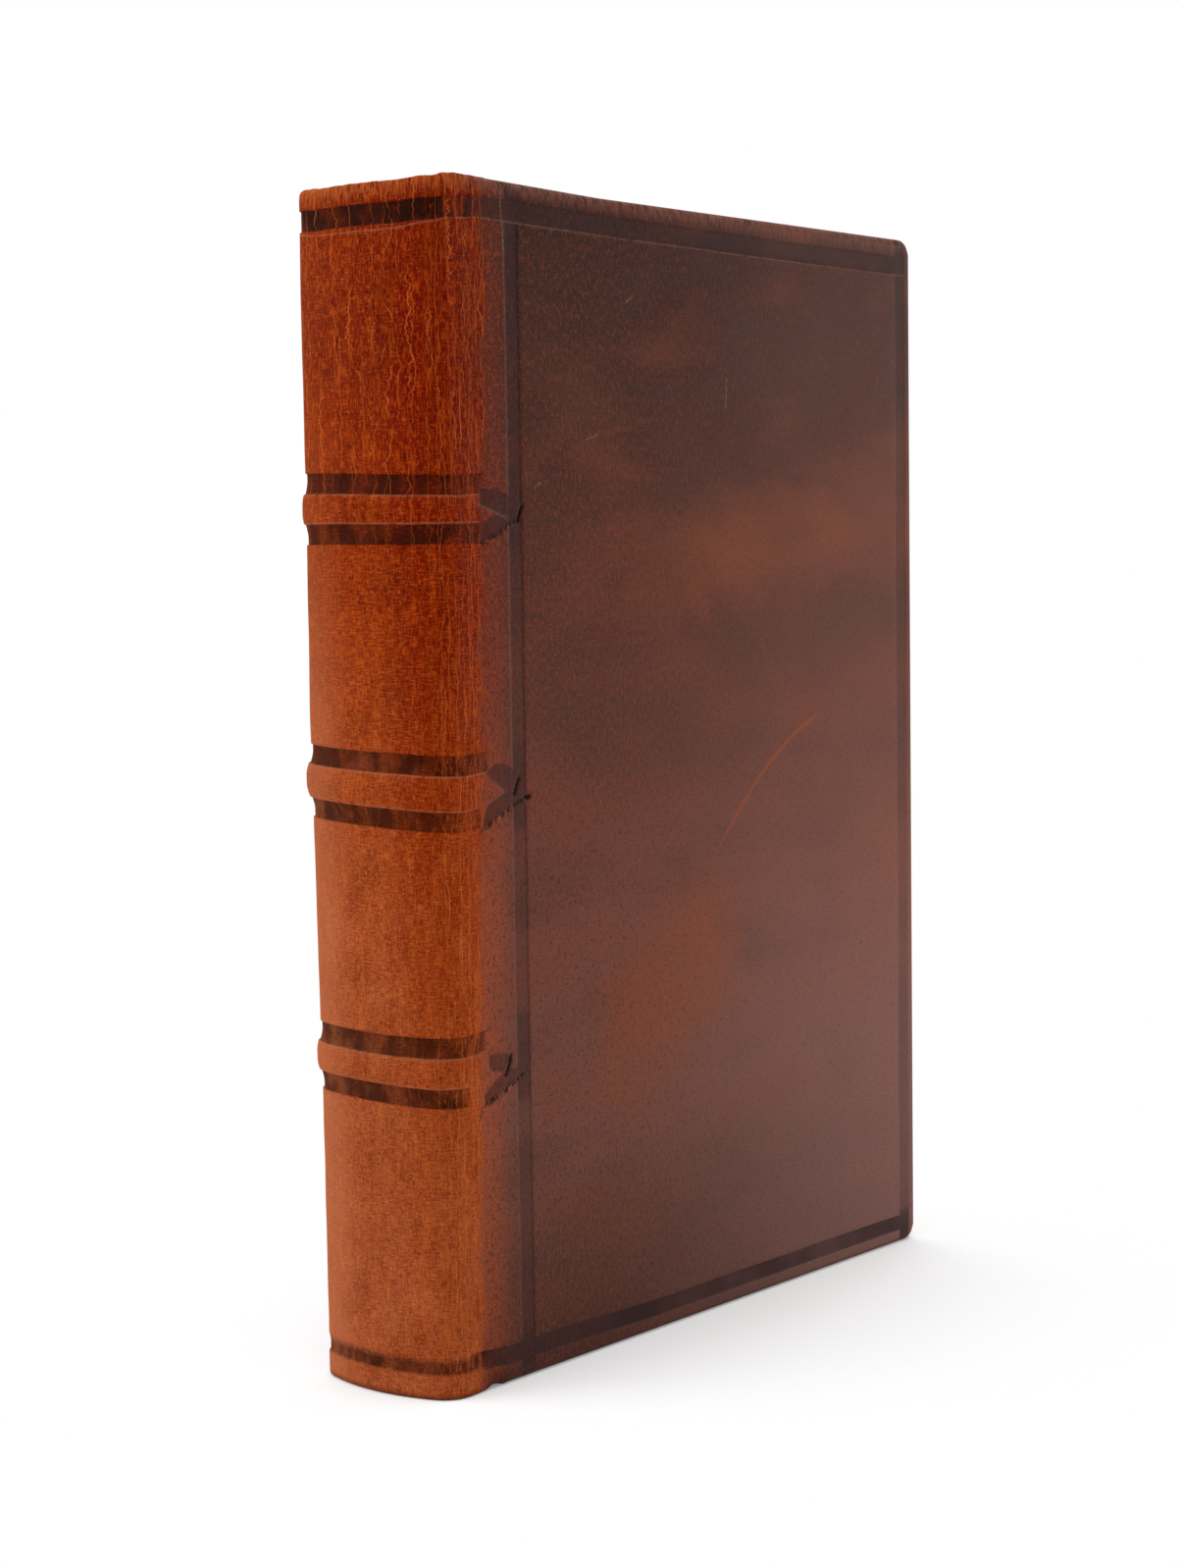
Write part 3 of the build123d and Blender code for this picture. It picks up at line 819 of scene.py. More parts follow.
class Nodes:
    """Adds nodes to a shader tree by short calls. A tuple of three is a colour's 0 to 255 screen values."""

    def __init__(self, tree):
        self.tree = tree

    def put(self, socket, value):
        """Sets a socket to a plain value or a colour, or links it to a field or another socket."""
        if isinstance(value, Field):
            value = value.socket
        if isinstance(value, bpy.types.NodeSocket):
            self.tree.links.new(value, socket)
        elif isinstance(value, tuple) and len(value) == 3:
            socket.default_value = srgb(*value)
        else:
            socket.default_value = value

    def node(self, kind, inputs, **settings):
        """A new node, with its settings made first and then its inputs filled."""
        made = self.tree.nodes.new(kind)
        for name, value in settings.items():
            setattr(made, name, value)
        for key, value in inputs.items():
            self.put(made.inputs[key], value)
        return made

    def field(self, kind, inputs, output=0, **settings):
        """One output of a new node, as a field."""
        return Field(self, self.node(kind, inputs, **settings).outputs[output])

    def math(self, operation, a, b=0.0):
        return self.field("ShaderNodeMath", {0: a, 1: b}, operation=operation)

    def highest(self, first, *others):
        for other in others:
            first = self.math("MAXIMUM", first, other)
        return first

    def seen(self):
        """1 for what the camera sees, also in metal and glass, and 0 for light that falls on the book."""
        rays = self.node("ShaderNodeLightPath", {}).outputs
        return self.highest(rays["Is Camera Ray"], rays["Is Glossy Ray"], rays["Is Transmission Ray"])

    def place(self):
        """Places on the object itself, in metres."""
        return self.node("ShaderNodeTexCoord", {}).outputs["Object"]

    def attribute(self, name, output="Fac"):
        """What is stored on the mesh's points under a name."""
        return self.field("ShaderNodeAttribute", {}, output, attribute_name=name)

    def split(self, vector):
        return [Field(self, socket) for socket in self.node("ShaderNodeSeparateXYZ", {0: vector}).outputs]

    def join(self, x, y, z=0.0):
        return self.node("ShaderNodeCombineXYZ", {0: x, 1: y, 2: z}).outputs[0]

    def noise(self, vector, scale, detail=3.0, roughness=0.55, distortion=0.0):
        inputs = {"Vector": vector, "Scale": scale, "Detail": detail, "Roughness": roughness}
        return self.field("ShaderNodeTexNoise", inputs | {"Distortion": distortion}, "Fac")

    def random(self, value):
        return self.field("ShaderNodeTexWhiteNoise", {"W": value}, "Value", noise_dimensions="1D")

    def smooth(self, value, low, high):
        """0 at low, 1 at high and a smooth change between them. low may be the larger one."""
        inputs = {"Value": value, "From Min": low, "From Max": high}
        return self.field("ShaderNodeMapRange", inputs, interpolation_type="SMOOTHSTEP")

    def mix(self, amount, a, b, blend="MIX"):
        inputs = {0: amount, 6: a, 7: b}
        return self.node("ShaderNodeMix", inputs, data_type="RGBA", blend_type=blend).outputs[2]

    def layers(self, colour, *rows):
        """A colour with others mixed over it in turn. Each row is a field, its values where the other colour
        starts and where it is full, the strength, and the other colour."""
        for field, start, full, strength, other in rows:
            colour = self.mix(self.smooth(field, start, full) * strength, colour, other)
        return colour

    def ramp(self, value, stops):
        """Colours along a value, from rows of place and colour."""
        made = self.node("ShaderNodeValToRGB", {0: value})
        elements = made.color_ramp.elements
        while len(elements) < len(stops):
            elements.new(0.5)
        for element, (place, colour) in zip(elements, stops):
            element.position = place
            element.color = srgb(*colour)
        return made.outputs[0]


class Shade(Nodes):
    """The nodes of one material, which end in one surface."""

    def __init__(self, name):
        self.material = bpy.data.materials.new(name)
        self.material.use_nodes = True
        super().__init__(self.material.node_tree)
        self.tree.nodes.clear()
        self.surface = self.node("ShaderNodeBsdfPrincipled", {})
        self.output = self.node("ShaderNodeOutputMaterial", {"Surface": self.surface.outputs[0]})

    def finish(self, colour, roughness, specular, relief=None):
        """Fills in the surface. relief is a field of heights, its strength and its distance in metres."""
        inputs = {"Base Color": colour, "Roughness": roughness, "Specular IOR Level": specular}
        if relief is not None:
            height, strength, distance = relief
            bump = {"Strength": strength, "Distance": distance, "Height": height}
            inputs["Normal"] = self.node("ShaderNodeBump", bump).outputs[0]
        for key, value in inputs.items():
            self.put(self.surface.inputs[key], value)
        return self.material


# Colours up the back, the joints and the covers, from tail to head
BACK_STOPS = (
    (0.0, (153, 75, 42)),
    (0.25, (152, 72, 37)),
    (0.42, (155, 67, 25)),
    (0.62, (145, 51, 5)),
    (0.78, (126, 33, 0)),
    (0.87, (108, 22, 0)),
    (1.0, (116, 28, 0)),
)
JOINT_STOPS = (
    (0.0, (116, 56, 36)),
    (0.2, (138, 74, 52)),
    (0.42, (138, 69, 47)),
    (0.62, (108, 48, 34)),
    (0.85, (84, 36, 24)),
)
COVER_STOPS = (
    (0.0, (66, 40, 34)),
    (0.09, (90, 58, 50)),
    (0.22, (107, 69, 60)),
    (0.38, (110, 65, 54)),
    (0.65, (80, 42, 33)),
    (0.92, (40, 20, 17)),
)
# What the back's colour is multiplied by where it turns to the front joint
RUDDY = (1.0, 0.74, 0.32, 1.0)
LEATHER_SPECULAR = 0.025

# Wear as soft spots: distance along the skin, height, half width, half height and strength. Distances on the
# front cover are from its border line, and the one on the back is from the front joint.
BACK_DEEP = ((-9.0, 187.0, 11.0, 18.0, 0.4),)
FRONT_RUBBED = (
    (48.0, 149.0, 44.0, 12.0, 0.45),
    (80.0, 153.0, 36.0, 16.0, 0.65),
    (122.0, 158.0, 34.0, 18.0, 0.6),
    (130.0, 80.0, 34.0, 28.0, 0.8),
    (56.0, 78.0, 20.0, 12.0, 0.6),
    (48.0, 67.0, 28.0, 14.0, 1.0),
    (36.0, 53.0, 18.0, 14.0, 0.6),
)
FRONT_STAINED = (
    (88.0, 190.0, 36.0, 15.0, 0.9),
    (16.0, 192.0, 36.0, 24.0, 0.7),
    (30.0, 174.0, 24.0, 12.0, 0.3),
    (10.0, 140.0, 18.0, 18.0, 0.35),
    (34.0, 114.0, 30.0, 16.0, 0.5),
    (66.0, 120.0, 30.0, 20.0, 0.4),
    (98.0, 96.0, 18.0, 10.0, 0.4),
    (84.0, 22.0, 64.0, 26.0, 0.5),
    (22.0, 18.0, 40.0, 18.0, 0.5),
)
# Flecks on the front cover, each between two points
FRONT_FLECKS = (
    ((66.0, 178.0), (66.4, 184.5)),
    ((22.5, 171.4), (25.6, 172.4)),
    ((35.0, 197.4), (37.0, 198.6)),
    ((7.0, 162.6), (9.0, 163.4)),
    ((-0.2, 204.0), (-0.8, 214.0)),
)
FLECK_HALF = 0.35
# A long scratch on the front cover, which bends down from its middle point to both sides
SCRATCH_S = 80.0
SCRATCH_Z = 108.0
SCRATCH_SLOPE = 0.6966
SCRATCH_BEND = 0.01092
# Cracks over the whole back, and where it turns into the joint: spacing, half width, seed and strength
BACK_CRACKS = ((4.1, 0.14, 3.0, 1.0), (2.6, 0.12, 8.0, 0.7))
CORNER_CRACKS = ((2.3, 0.14, 13.0, 0.8), (1.7, 0.13, 21.0, 0.6), (1.3, 0.12, 34.0, 0.45))


class Hide(Shade):
    """Worn calf: orange brown and cracked over the back, dark and mottled on the covers, with dark
    tooling. Its fields are the places on the skin, the masks of the tooling, and noises named for what
    they make."""

    def __init__(self):
        super().__init__("worn_leather")
        s, z, w = self.split(self.attribute("skin", "Vector"))
        flat = self.join(s, z)
        self.s, self.z, self.w = s, z, w
        self.press, self.shine, self.slit, self.ragged = [self.attribute(name) for name in MASKS]
        self.fine = self.noise(flat, 2.4, 2.0, 0.6)
        self.fibre = self.noise(self.join(s * 3.4, z * 0.55), 1.0, 3.0, 0.68)
        self.weave = self.noise(self.join(s * 0.6, z * 3.0), 1.0, 3.0, 0.68)
        self.grain = self.noise(self.join(s * 1.25, z * 0.75), 1.0, 3.0, 0.62)
        self.curl = abs(self.noise(flat, 0.75, 2.0, 0.5) - 0.5)
        self.streak = self.noise(self.join(s * 0.55, z * 0.14), 1.0, 4.0, 0.65)
        self.blotch = self.noise(flat, 0.1)
        self.drift = self.noise(flat, 0.045)
        self.cloud = self.noise(flat, 0.028, 4.0, 0.5, 0.4)
        # across is the distance past the front joint, and edge that past the ragged line where the back's
        # colour ends. The others are shares from 0 to 1.
        self.across = s - FRONT_JOINT_S
        self.upward = z * (1 / HEIGHT)
        self.below = self.smooth(z, 150.0, 85.0)
        self.edge = w - z * 0.024 - 2.6 + (self.blotch - 0.5) * 5.0 + (self.grain - 0.5) * 4.0
        self.on_cover = self.smooth(w, 3.0, 8.0)

    def spots(self, x, y, places):
        """Sum of soft oval spots, each given by its middle, half width, half height and strength."""
        total = 0.0
        for middle_x, middle_y, half_x, half_y, strength in places:
            dx = (x - middle_x) * (1 / half_x)
            dy = (y - middle_y) * (1 / half_y)
            total = self.smooth(dx * dx + dy * dy, 1.0, 0.0) * strength + total
        return total

    def stroke(self, start, end, half):
        """A straight scratch between two points."""
        x, y = self.s - start[0], self.z - start[1]
        dx, dy = end[0] - start[0], end[1] - start[1]
        along = (x * dx + y * dy) * (1 / (dx * dx + dy * dy))
        along = self.math("MINIMUM", self.math("MAXIMUM", along, 0.0), 1.0)
        off_x, off_y = x - along * dx, y - along * dy
        return self.smooth(self.math("SQRT", off_x * off_x + off_y * off_y), half, half * 0.3)

    def crack_lines(self, spacing, half, seed):
        """Thin crooked lines that run up the skin, one in each strip of that width, broken into stretches."""
        x = self.s * (1 / spacing) + seed
        strip = self.math("FLOOR", x)
        own = strip * 17.31
        bend = self.noise(self.join(own, self.z * 0.16, seed), 1.0, 4.0, 0.7) - 0.5
        middle = strip + 0.5 + (self.random(strip) - 0.5) * 0.3 + bend * 1.5
        away = abs(x - middle) * spacing
        shown = self.noise(self.join(own, self.z * 0.06, seed + 9.0), 1.0, 3.0, 0.7)
        return self.smooth(away, half, half * 0.3) * self.smooth(shown, 0.44, 0.62)

    def back_colour(self):
        """Deep red brown above, paler and more orange below, with a painted sheen over the back's far side.
        """
        z, across, below = self.z, self.across, self.below
        fine, fibre, weave, blotch, streak = self.fine, self.fibre, self.weave, self.blotch, self.streak
        tan = self.mix(below, (176, 72, 8), (188, 98, 48))
        dim = self.mix(below, (88, 18, 0), (118, 44, 12))
        deep = self.smooth(across, -17.0, -9.0) * self.smooth(z, 20.0, 150.0)
        deep = deep * (self.smooth(blotch, 0.34, 0.6) * 0.45 + 0.4) + self.spots(across, z, BACK_DEEP)
        burnt = self.smooth(z, 70.0, 170.0) * (self.smooth(z, 150.0, 190.0) * 0.35 + 0.5)
        soft = 1.0 - below * 0.34
        calm = soft - self.smooth(z, 150.0, 175.0) * 0.6
        # A painted sheen over the back's far side from the front joint, stronger and paler lower down
        paler = self.smooth(z, 190.0, 110.0)
        painted_sheen = self.mix(paler, (160, 74, 24), (178, 104, 68))
        colour = self.layers(
            self.mix(deep, self.ramp(self.upward, BACK_STOPS), (104, 13, 0)),
            (self.w, -4.0, 3.0, burnt, (74, 10, 0)),
            (blotch, 0.52, 0.34, 0.5, dim),
            (blotch, 0.5, 0.7, below * 0.35, (176, 98, 62)),
            (streak, 0.5, 0.72, 0.5, tan),
            (streak, 0.5, 0.25, 0.38, (96, 16, 0)),
            (fibre, 0.5, 0.68, soft * 0.7, tan),
            (fibre, 0.54, 0.32, soft * 0.7, (76, 8, 0)),
            (weave, 0.54, 0.34, calm * 0.55, (82, 10, 0)),
            (weave, 0.52, 0.68, calm * 0.55, tan),
            (fine, 0.5, 0.3, below * 0.5, (104, 38, 12)),
            (fine, 0.5, 0.7, below * 0.35, tan),
            (self.curl, 0.022, 0.0, self.smooth(weave, 0.4, 0.6) * 0.5, (190, 98, 44)),
            # painted sheen over the back's far side
            (across, -21.0, -34.0, (paler * 0.7 + 0.25) * 0.5, painted_sheen),
        )
        ruddy = self.smooth(across, -18.0, -5.0) * (self.smooth(z, 10.0, 110.0) * 0.65 + 0.35)
        return self.mix(ruddy, colour, RUDDY, "MULTIPLY")

    def joint_colour(self):
        """Dark red brown, where the orange is rubbed off."""
        return self.layers(
            self.ramp(self.upward, JOINT_STOPS),
            (self.grain, 0.5, 0.68, 0.5, (152, 62, 26)),
            (self.grain, 0.52, 0.32, 0.6, (58, 28, 28)),
            (self.fine, 0.5, 0.66, 0.35, (166, 74, 32)),
            (self.fine, 0.5, 0.34, 0.4, (52, 22, 18)),
        )

    def cover_colour(self):
        """Dark brown, with warmer rubbed patches and darker stains, and a painted sheen that greys it towards
        the fore edge and lower down.
        """
        s, z, w, grain, fine = self.s, self.z, self.w, self.grain, self.fine
        warm_s = s + (self.drift - 0.5) * 34.0
        warm_z = z + (self.drift - 0.5) * 16.0 + (self.blotch - 0.5) * 6.0
        far_side = self.smooth(s, -50.0, -70.0) * 0.8
        rubbed = self.spots(warm_s, warm_z, FRONT_RUBBED) + far_side * self.smooth(self.cloud, 0.5, 0.7)
        stained = self.spots(warm_s, warm_z, FRONT_STAINED) + far_side * self.smooth(self.cloud, 0.46, 0.3)
        mottle = self.noise(self.join(s * 0.026, z * 0.062, 4.0), 1.0, 3.0, 0.5)
        # A painted sheen that greys the cover towards the fore edge and lower down
        sheen_share = (self.smooth(z, 170.0, 20.0) * 0.65 + 0.35) * 0.65
        painted_cover_sheen = self.mix(self.smooth(z, 130.0, 50.0), (134, 88, 76), (140, 101, 94))
        speck = self.smooth(w, 110.0, 10.0) * 0.32 + 0.13
        colour = self.layers(
            self.ramp(self.upward, COVER_STOPS),
            (mottle, 0.46, 0.72, 0.4, (116, 60, 40)),
            (mottle, 0.54, 0.28, 0.4, (60, 42, 32)),
        )
        colour = self.mix(rubbed * 0.65, colour, (126, 64, 36))
        colour = self.mix(stained * 0.58, colour, (58, 40, 30))
        return self.layers(
            colour,
            # painted sheen
            (w, 20.0, 150.0, sheen_share, painted_cover_sheen),
            (grain, 0.5, 0.68, speck, (128, 56, 32)),
            (grain, 0.5, 0.32, speck, (50, 30, 32)),
            (fine, 0.5, 0.66, speck * 0.6, (146, 66, 34)),
            (fine, 0.5, 0.32, speck * 0.7, (40, 22, 20)),
            (self.weave, 0.5, 0.3, 0.3, (46, 26, 22)),
            (self.fibre, 0.5, 0.7, 0.22, (140, 82, 62)),
        )

    def tooled(self, colour):
        """The pressed lines: bold over the back, fainter on the covers, with a painted sheen on them towards
        the middle of the back, and a painted shadow and a painted highlight as thin lines beside the border.
        """
        z, w, press, on_cover = self.z, self.w, self.press, self.on_cover
        plain = 0.3 + self.smooth(z, 9.0, 7.0) * 0.3 + self.smooth(z, 160.0, 200.0) * 0.22
        plain = plain + self.smooth(z, HEAD_LINE_Z + 1.8, HEAD_LINE_Z + 2.4) * 0.2
        plain = plain + self.smooth(z, 18.0, 9.0) * 0.15
        plain = plain * (self.smooth(self.drift, 0.35, 0.6) * 0.4 + 0.7) + (self.fine - 0.5) * 0.5
        by_border = self.smooth(w, BORDER_W + 5.5, BORDER_W + 3.5) * 0.28
        for band in BANDS:
            plain = self.smooth(abs(z - band["z"]), 9.0, 7.0) * by_border + plain
        worn = self.noise(self.join(self.s * 0.2, z * 0.11), 1.0, 4.0, 0.6)
        bold = 0.56 + self.smooth(worn, 0.62, 0.42) * 0.3 + (self.fibre - 0.5) * 0.35
        bold = bold + self.smooth(z, 195.0, 208.0) * 0.12
        seam = self.smooth(w, -2.5, 0.5) * self.smooth(self.edge, 1.5, 0.0)
        bold = bold * (1.0 - seam * self.smooth(self.streak, 0.42, 0.56) * 0.6)
        dark = self.mix(on_cover, (34, 10, 5), (42, 30, 31))
        inner = self.smooth(z, 7.0, 9.0) * self.smooth(z, HEIGHT - 8.0, HEIGHT - 10.0)
        return self.layers(
            self.mix(press * (bold + (plain - bold) * on_cover), colour, dark),
            # painted sheen on the lines towards the middle of the back
            (w, -16.0, -30.0, press * self.smooth(self.blotch, 0.46, 0.6) * 0.5, (92, 66, 56)),
            # a painted shadow along the border line's fore-edge side, then a painted highlight along its
            # joint side
            (abs(w - BORDER_W - 3.5), 0.4, 0.1, inner * 0.25, (34, 20, 18)),
            (abs(w - BORDER_W + 0.15), 0.3, 0.08, inner * 0.06, (150, 108, 92)),
        )

    def cracked(self, colour):
        """Pale cracks and chips that run up the back, most of them where it turns into the joint, and a
        painted highlight along one edge of the lines."""
        below, edge = self.below, self.edge
        highlight_colour = self.mix(self.on_cover, (166, 104, 76), (126, 92, 82))
        corner = self.smooth(self.w, -8.0, -3.5)
        above = self.smooth(self.z, 140.0, 175.0) * 0.75 + 0.25
        lines = [
            self.crack_lines(spacing, half, seed) * where * strength
            for where, rows in ((above, BACK_CRACKS), (corner, CORNER_CRACKS))
            for spacing, half, seed, strength in rows
        ]
        cracks = self.highest(*lines) * (1.0 - self.press * 0.35) * (self.fibre + 0.5) * 0.85
        chips = self.noise(self.join(self.s * 1.5, self.z * 0.5, 6.0), 1.0, 4.0, 0.72)
        chips = self.smooth(chips, 0.55, 0.66) * corner * (below * 0.2 + 0.38)
        return self.layers(
            colour,
            (edge, 1.6, -0.6, cracks, self.mix(below, (192, 94, 34), (196, 104, 48))),
            (edge, 1.0, -1.0, chips, self.mix(below, (170, 58, 2), (188, 86, 22))),
            # painted highlight along one edge of the lines
            (self.streak, 0.3, 0.5, self.shine * 0.38, highlight_colour),
        )

    def rubbed(self, colour):
        """Edges rubbed pale, on the covers partly a painted highlight too; a painted shadow along the foot
        and painted shade in the notch at the joint's tail; the ragged cuts at the mitres, with painted shade
        in their slits.
        """
        z, w, grain = self.z, self.w, self.grain
        head = self.smooth(z, HEIGHT - 3.4, HEIGHT - 0.7)
        tail = self.smooth(z, 1.6, -0.4) * 0.4
        fore = self.smooth(w, FORE_W - 2.0, FORE_W + 0.4)
        # Rubbed tan over the back; greyer on the covers, partly rubbed and partly a painted highlight
        pale = self.mix(self.smooth(w, 0.0, 10.0), (182, 92, 42), (136, 88, 74))
        # Painted shade in the notch at the joint's tail
        notch = self.smooth(w, 3.0, 5.5) * self.smooth(w, 12.0, 9.0) * 0.5
        colour = self.layers(
            colour,
            (self.fibre + (self.streak - 0.5), 0.3, 0.62, self.highest(head, tail, fore) * 0.55, pale),
            # a painted shadow along the foot, then painted shade in the notch at the joint's tail
            (z, 1.4, 0.1, 0.65, (48, 22, 14)),
            (z, 4.0, 1.0, notch, (36, 18, 14)),
            (grain, 0.56, 0.44, self.ragged * 0.85, (28, 12, 10)),
            (grain, 0.56, 0.66, self.ragged * 0.5, (160, 112, 88)),
        )
        # Painted shade inside the slits
        return self.mix(self.slit, colour, (22, 9, 7))

    def scratched(self, colour):
        """The long scratch and the flecks on the front cover."""
        t = self.s - SCRATCH_S
        away = abs(self.z - SCRATCH_Z - t * SCRATCH_SLOPE + t * t * SCRATCH_BEND)
        ends = self.smooth(self.s, 58.0, 68.0) * self.smooth(self.s, 99.0, 94.0)
        colour = self.layers(colour, (away, 0.9, 0.1, ends * 0.55, (146, 72, 40)))
        flecked = self.smooth(self.fine, 0.4, 0.6) * 0.45
        for start, end in FRONT_FLECKS:
            colour = self.mix(self.stroke(start, end, FLECK_HALF) * flecked, colour, (150, 104, 82))
        return colour


def leather():
    """The whole skin: back, joints and covers run into each other, and wear, painted highlights and painted
    shade lie over them.
    """
    hide = Hide()
    fine, w = hide.fine, hide.w
    colour = hide.layers(
        hide.back_colour(),
        (hide.edge, -1.4, 1.6, 1.0, hide.joint_colour()),
        (hide.edge, 2.0, 9.5, 1.0, hide.cover_colour()),
    )
    for wear in (hide.tooled, hide.cracked, hide.rubbed, hide.scratched):
        colour = wear(colour)
    height = (fine * 0.6 + hide.fibre * 0.6) * (hide.smooth(w, 10.0, 0.0) * 0.7 + 0.3)
    roughness = 0.7 - hide.smooth(w, 0.0, 9.0) * 0.25 + (fine - 0.5) * 0.2
    return hide.finish(colour, roughness, LEATHER_SPECULAR, (height, 0.4, 0.00025))


# How far in from the edges of a leaf the leather has browned it, in metres
BROWNED = 0.017


def laid_paper():
    """Aged laid paper: faint laid lines, fibres, foxing, and browning where leather has touched it."""
    shade = Shade("endpaper")
    place = shade.place()
    x, y, z = shade.split(place)
    fibre = shade.noise(place, 800.0, 3.0, 0.65)
    stain = shade.noise(place, 26.0, 4.0, 0.6)
    fox = shade.noise(place, 210.0, 2.0, 0.5)
    laid = shade.noise(shade.join(x * 40.0, y * 40.0, z * 1100.0), 1.0, 1.0)
    ends = shade.math("MINIMUM", z, HEIGHT * MM - z)
    away = shade.math("MINIMUM", ends, FORE_X * MM - x) + (stain - 0.5) * 0.012
    colour = shade.layers(
        (226, 212, 178),
        (stain, 0.35, 0.7, 1.0, (206, 184, 140)),
        (fibre, 0.4, 0.7, 0.3, (186, 160, 112)),
        (laid, 0.45, 0.7, 0.15, (180, 154, 108)),
        (fox, 0.7, 0.78, 0.45, (156, 104, 54)),
        (away, BROWNED, BROWNED * 0.45, 0.6, (150, 108, 64)),
    )
    return shade.finish(colour, 0.88, 0.15, (fibre * 0.6 + laid * 0.4, 0.3, 0.00015))


def joint_lining():
    """The inside of a joint: paper, with the leather turned in over it at both ends."""
    shade = Shade("joint_lining")
    place = shade.place()
    z = shade.split(place)[2]
    fibre = shade.noise(place, 800.0, 3.0, 0.65)
    stain = shade.noise(place, 60.0, 3.0, 0.6)
    ends = shade.math("MINIMUM", z, HEIGHT * MM - z) + (stain - 0.5) * 0.003
    skin = shade.mix(shade.smooth(fibre, 0.35, 0.7), (112, 58, 32), (72, 34, 20))
    colour = shade.layers(
        (212, 192, 150),
        (fibre, 0.35, 0.7, 0.6, (168, 138, 92)),
        (ends, TURN_IN * MM + 0.0004, TURN_IN * MM - 0.0004, 1.0, skin),
    )
    return shade.finish(colour, 0.85, 0.15, (fibre, 0.3, 0.0002))


def page_edges():
    """Cut edges of many leaves: fine lines between leaves, darker ones between gatherings as painted shade in
    their gaps, soiling and age.
    """
    shade = Shade("page_edges")
    place = shade.place()
    x, _, z = shade.split(place)
    leaf = shade.attribute("leaf")
    line = shade.noise(shade.join(leaf * 5.0, x * 22.0, z * 22.0), 1.0, 3.0, 0.75)
    stain = shade.noise(place, 38.0, 4.0, 0.6)
    gap = abs(shade.math("FRACT", leaf * (1 / GATHERING)) - 0.5)
    colour = shade.layers(
        (222, 204, 164),
        (stain, 0.3, 0.72, 1.0, (190, 160, 112)),
        (line, 0.54, 0.36, 0.7, (132, 98, 60)),
        (line, 0.56, 0.74, 0.5, (236, 224, 194)),
        # painted shade in the gaps between gatherings
        (gap, 0.42, 0.5, 0.55, (104, 74, 44)),
    )
    return shade.finish(colour, 0.9, 0.1, (line, 0.5, 0.0003))


def sewn_thread():
    """Two faded threads that take turns round the headband, with painted shade between the turns."""
    shade = Shade("sewn_thread")
    turn = shade.attribute("turn")
    ply = shade.noise(shade.place(), 1800.0, 3.0, 0.7)
    colour = shade.layers(
        (206, 186, 140),
        (abs(shade.math("FRACT", turn * 0.25) - 0.5), 0.24, 0.26, 1.0, (126, 62, 44)),
        (ply, 0.4, 0.7, 0.5, (112, 84, 54)),
        # painted shade between the turns
        (abs(shade.math("FRACT", turn) - 0.5), 0.36, 0.5, 0.7, (62, 40, 26)),
    )
    return shade.finish(colour, 0.85, 0.15, (ply, 0.4, 0.0002))


def plain_fibre(name, base, dark):
    """Board, lining or cord: matt and slightly fibrous."""
    shade = Shade(name)
    fibre = shade.noise(shade.place(), 700.0, 4.0, 0.65)
    colour = shade.layers(base, (fibre, 0.35, 0.65, 1.0, dark))
    return shade.finish(colour, 0.9, 0.2, (fibre, 0.3, 0.0002))


def dress(node, material):
    """Gives a node that stays as it is a material of its own."""
    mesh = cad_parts[node].data
    mesh.materials.clear()
    mesh.materials.append(material)


def build_book():
    """All the pieces, each with its material."""
    skin = leather()
    endpaper = laid_paper()
    lining = joint_lining()
    board = plain_fibre("pasteboard", (150, 126, 94), (112, 90, 64))
    cord = plain_fibre("cord", (176, 152, 108), (128, 104, 68))
    build_spine(skin)
    for side in ("front", "back"):
        build_strip(side, skin, lining)
        build_cover(side, skin)
        dress(side + "_board", board)
        dress(side + "_pastedown", endpaper)
    build_leaves(page_edges(), endpaper)
    dress("spine_liner", board)
    build_cords(cord)
    thread = sewn_thread()
    for end in ("head", "tail"):
        build_headband(end, thread)


# The camera stands where the photograph was taken from: place in millimetres from the frame's origin
CAMERA_PLACE = (-442.94, -348.48, 150.66)
CAMERA_YAW = 0.680832
CAMERA_PITCH = -0.081117
CAMERA_ROLL = -0.014607
FOCAL_PIXELS = 2900.0
PHOTO_HEIGHT = 1598.0
SENSOR = 36.0

# The floor, the surroundings and the lamps, in metres and watts
FLOOR_REACH = 6.0
SHADOW_REACH = 0.15
WORLD_STRENGTH = 0.64
LIT_POINT = (0, 0, 0.11)
LAMPS = (
    {"name": "key", "place": (-0.75, 0.75, 0.55), "size": 0.7, "power": 6.2},
    {"name": "fill", "place": (1.3, -0.5, 0.22), "size": 0.5, "power": 4.0},
    {"name": "top", "place": (0, 0, 1.2), "size": 0.9, "power": 7.0},
)


def add_camera():
    """The camera at the photograph's place, angle and field of view."""
    forward = Vector(
        (
            math.cos(CAMERA_PITCH) * math.cos(CAMERA_YAW),
            math.cos(CAMERA_PITCH) * math.sin(CAMERA_YAW),
            math.sin(CAMERA_PITCH),
        )
    )
    level = forward.cross(Vector((0, 0, 1))).normalized()
    above = level.cross(forward)
    right = level * math.cos(CAMERA_ROLL) + above * math.sin(CAMERA_ROLL)
    up = above * math.cos(CAMERA_ROLL) - level * math.sin(CAMERA_ROLL)
    data = bpy.data.cameras.new("photo_camera")
    data.sensor_width = SENSOR
    data.lens = SENSOR * FOCAL_PIXELS / PHOTO_HEIGHT
    data.clip_start = 0.01
    camera = bpy.data.objects.new("photo_camera", data)
    axes = Matrix((right, up, -forward)).transposed().to_4x4()
    camera.matrix_world = Matrix.Translation(Vector(CAMERA_PLACE) * MM) @ axes
    bpy.context.scene.collection.objects.link(camera)
    bpy.context.scene.camera = camera


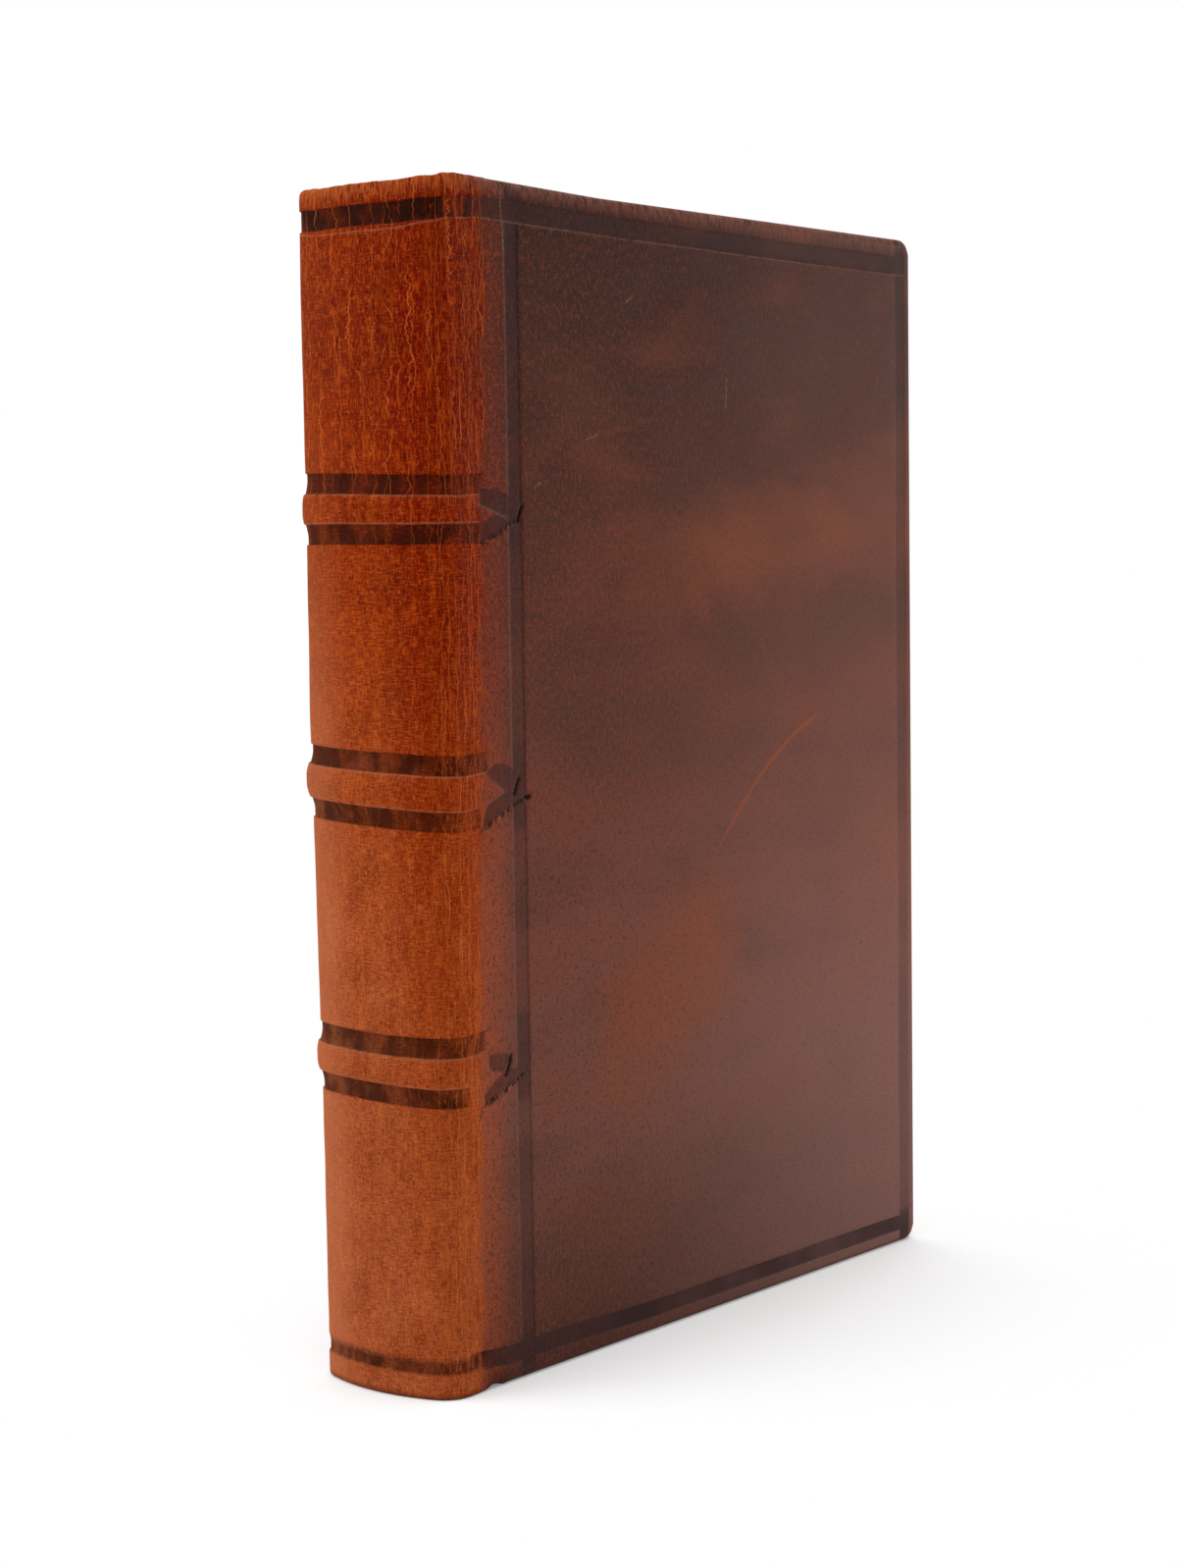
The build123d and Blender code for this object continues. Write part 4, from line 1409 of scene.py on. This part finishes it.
def add_floor():
    """A plain white floor that keeps the book's shadow and runs out evenly into the white surroundings."""
    mesh = bpy.data.meshes.new("floor")
    corners = [(x * FLOOR_REACH, y * FLOOR_REACH, 0) for x, y in ((-1, -1), (1, -1), (1, 1), (-1, 1))]
    mesh.from_pydata(corners, [], [(0, 1, 2, 3)])
    floor = bpy.data.objects.new("floor", mesh)
    bpy.context.scene.collection.objects.link(floor)
    shade = Shade("floor")
    shade.finish((252, 252, 252), 0.95, 0.0)
    x, y, _ = shade.split(shade.place())
    away = shade.smooth(shade.math("SQRT", x * x + y * y), 0.06, 0.36)
    near = shade.field("ShaderNodeAmbientOcclusion", {"Distance": SHADOW_REACH}, "AO", samples=8)
    clear = shade.smooth(near, 0.5, 0.85) * 0.8 + 0.2
    matt = shade.surface.outputs[0]
    glow = shade.node("ShaderNodeEmission", {}).outputs[0]
    unseen = shade.node("ShaderNodeMixShader", {0: away, 1: matt, 2: glow}).outputs[0]
    seen = shade.node("ShaderNodeMixShader", {0: clear, 1: matt, 2: glow}).outputs[0]
    both = shade.node("ShaderNodeMixShader", {0: shade.seen(), 1: unseen, 2: seen})
    shade.put(shade.output.inputs["Surface"], both.outputs[0])
    mesh.materials.append(shade.material)


def add_lamp(name, place, size, power):
    """A soft square lamp that faces the book."""
    data = bpy.data.lights.new(name, "AREA")
    data.shape = "SQUARE"
    data.size = size
    data.energy = power
    lamp = bpy.data.objects.new(name, data)
    lamp.location = place
    lamp.rotation_mode = "QUATERNION"
    lamp.rotation_quaternion = (Vector(LIT_POINT) - Vector(place)).to_track_quat("-Z", "Y")
    bpy.context.scene.collection.objects.link(lamp)


def add_light():
    """White surroundings, a soft key from the left, a soft fill from the right and one from above."""
    world = bpy.data.worlds.new("studio")
    world.use_nodes = True
    bpy.context.scene.world = world
    nodes = Nodes(world.node_tree)
    background = nodes.tree.nodes["Background"].inputs
    background["Color"].default_value = (1, 1, 1, 1)
    strength = {"Value": nodes.seen(), "To Min": WORLD_STRENGTH, "To Max": 1.0}
    nodes.put(background["Strength"], nodes.field("ShaderNodeMapRange", strength))
    for lamp in LAMPS:
        add_lamp(**lamp)


build_book()
add_camera()
add_floor()
add_light()
bpy.context.scene.view_settings.view_transform = "Standard"
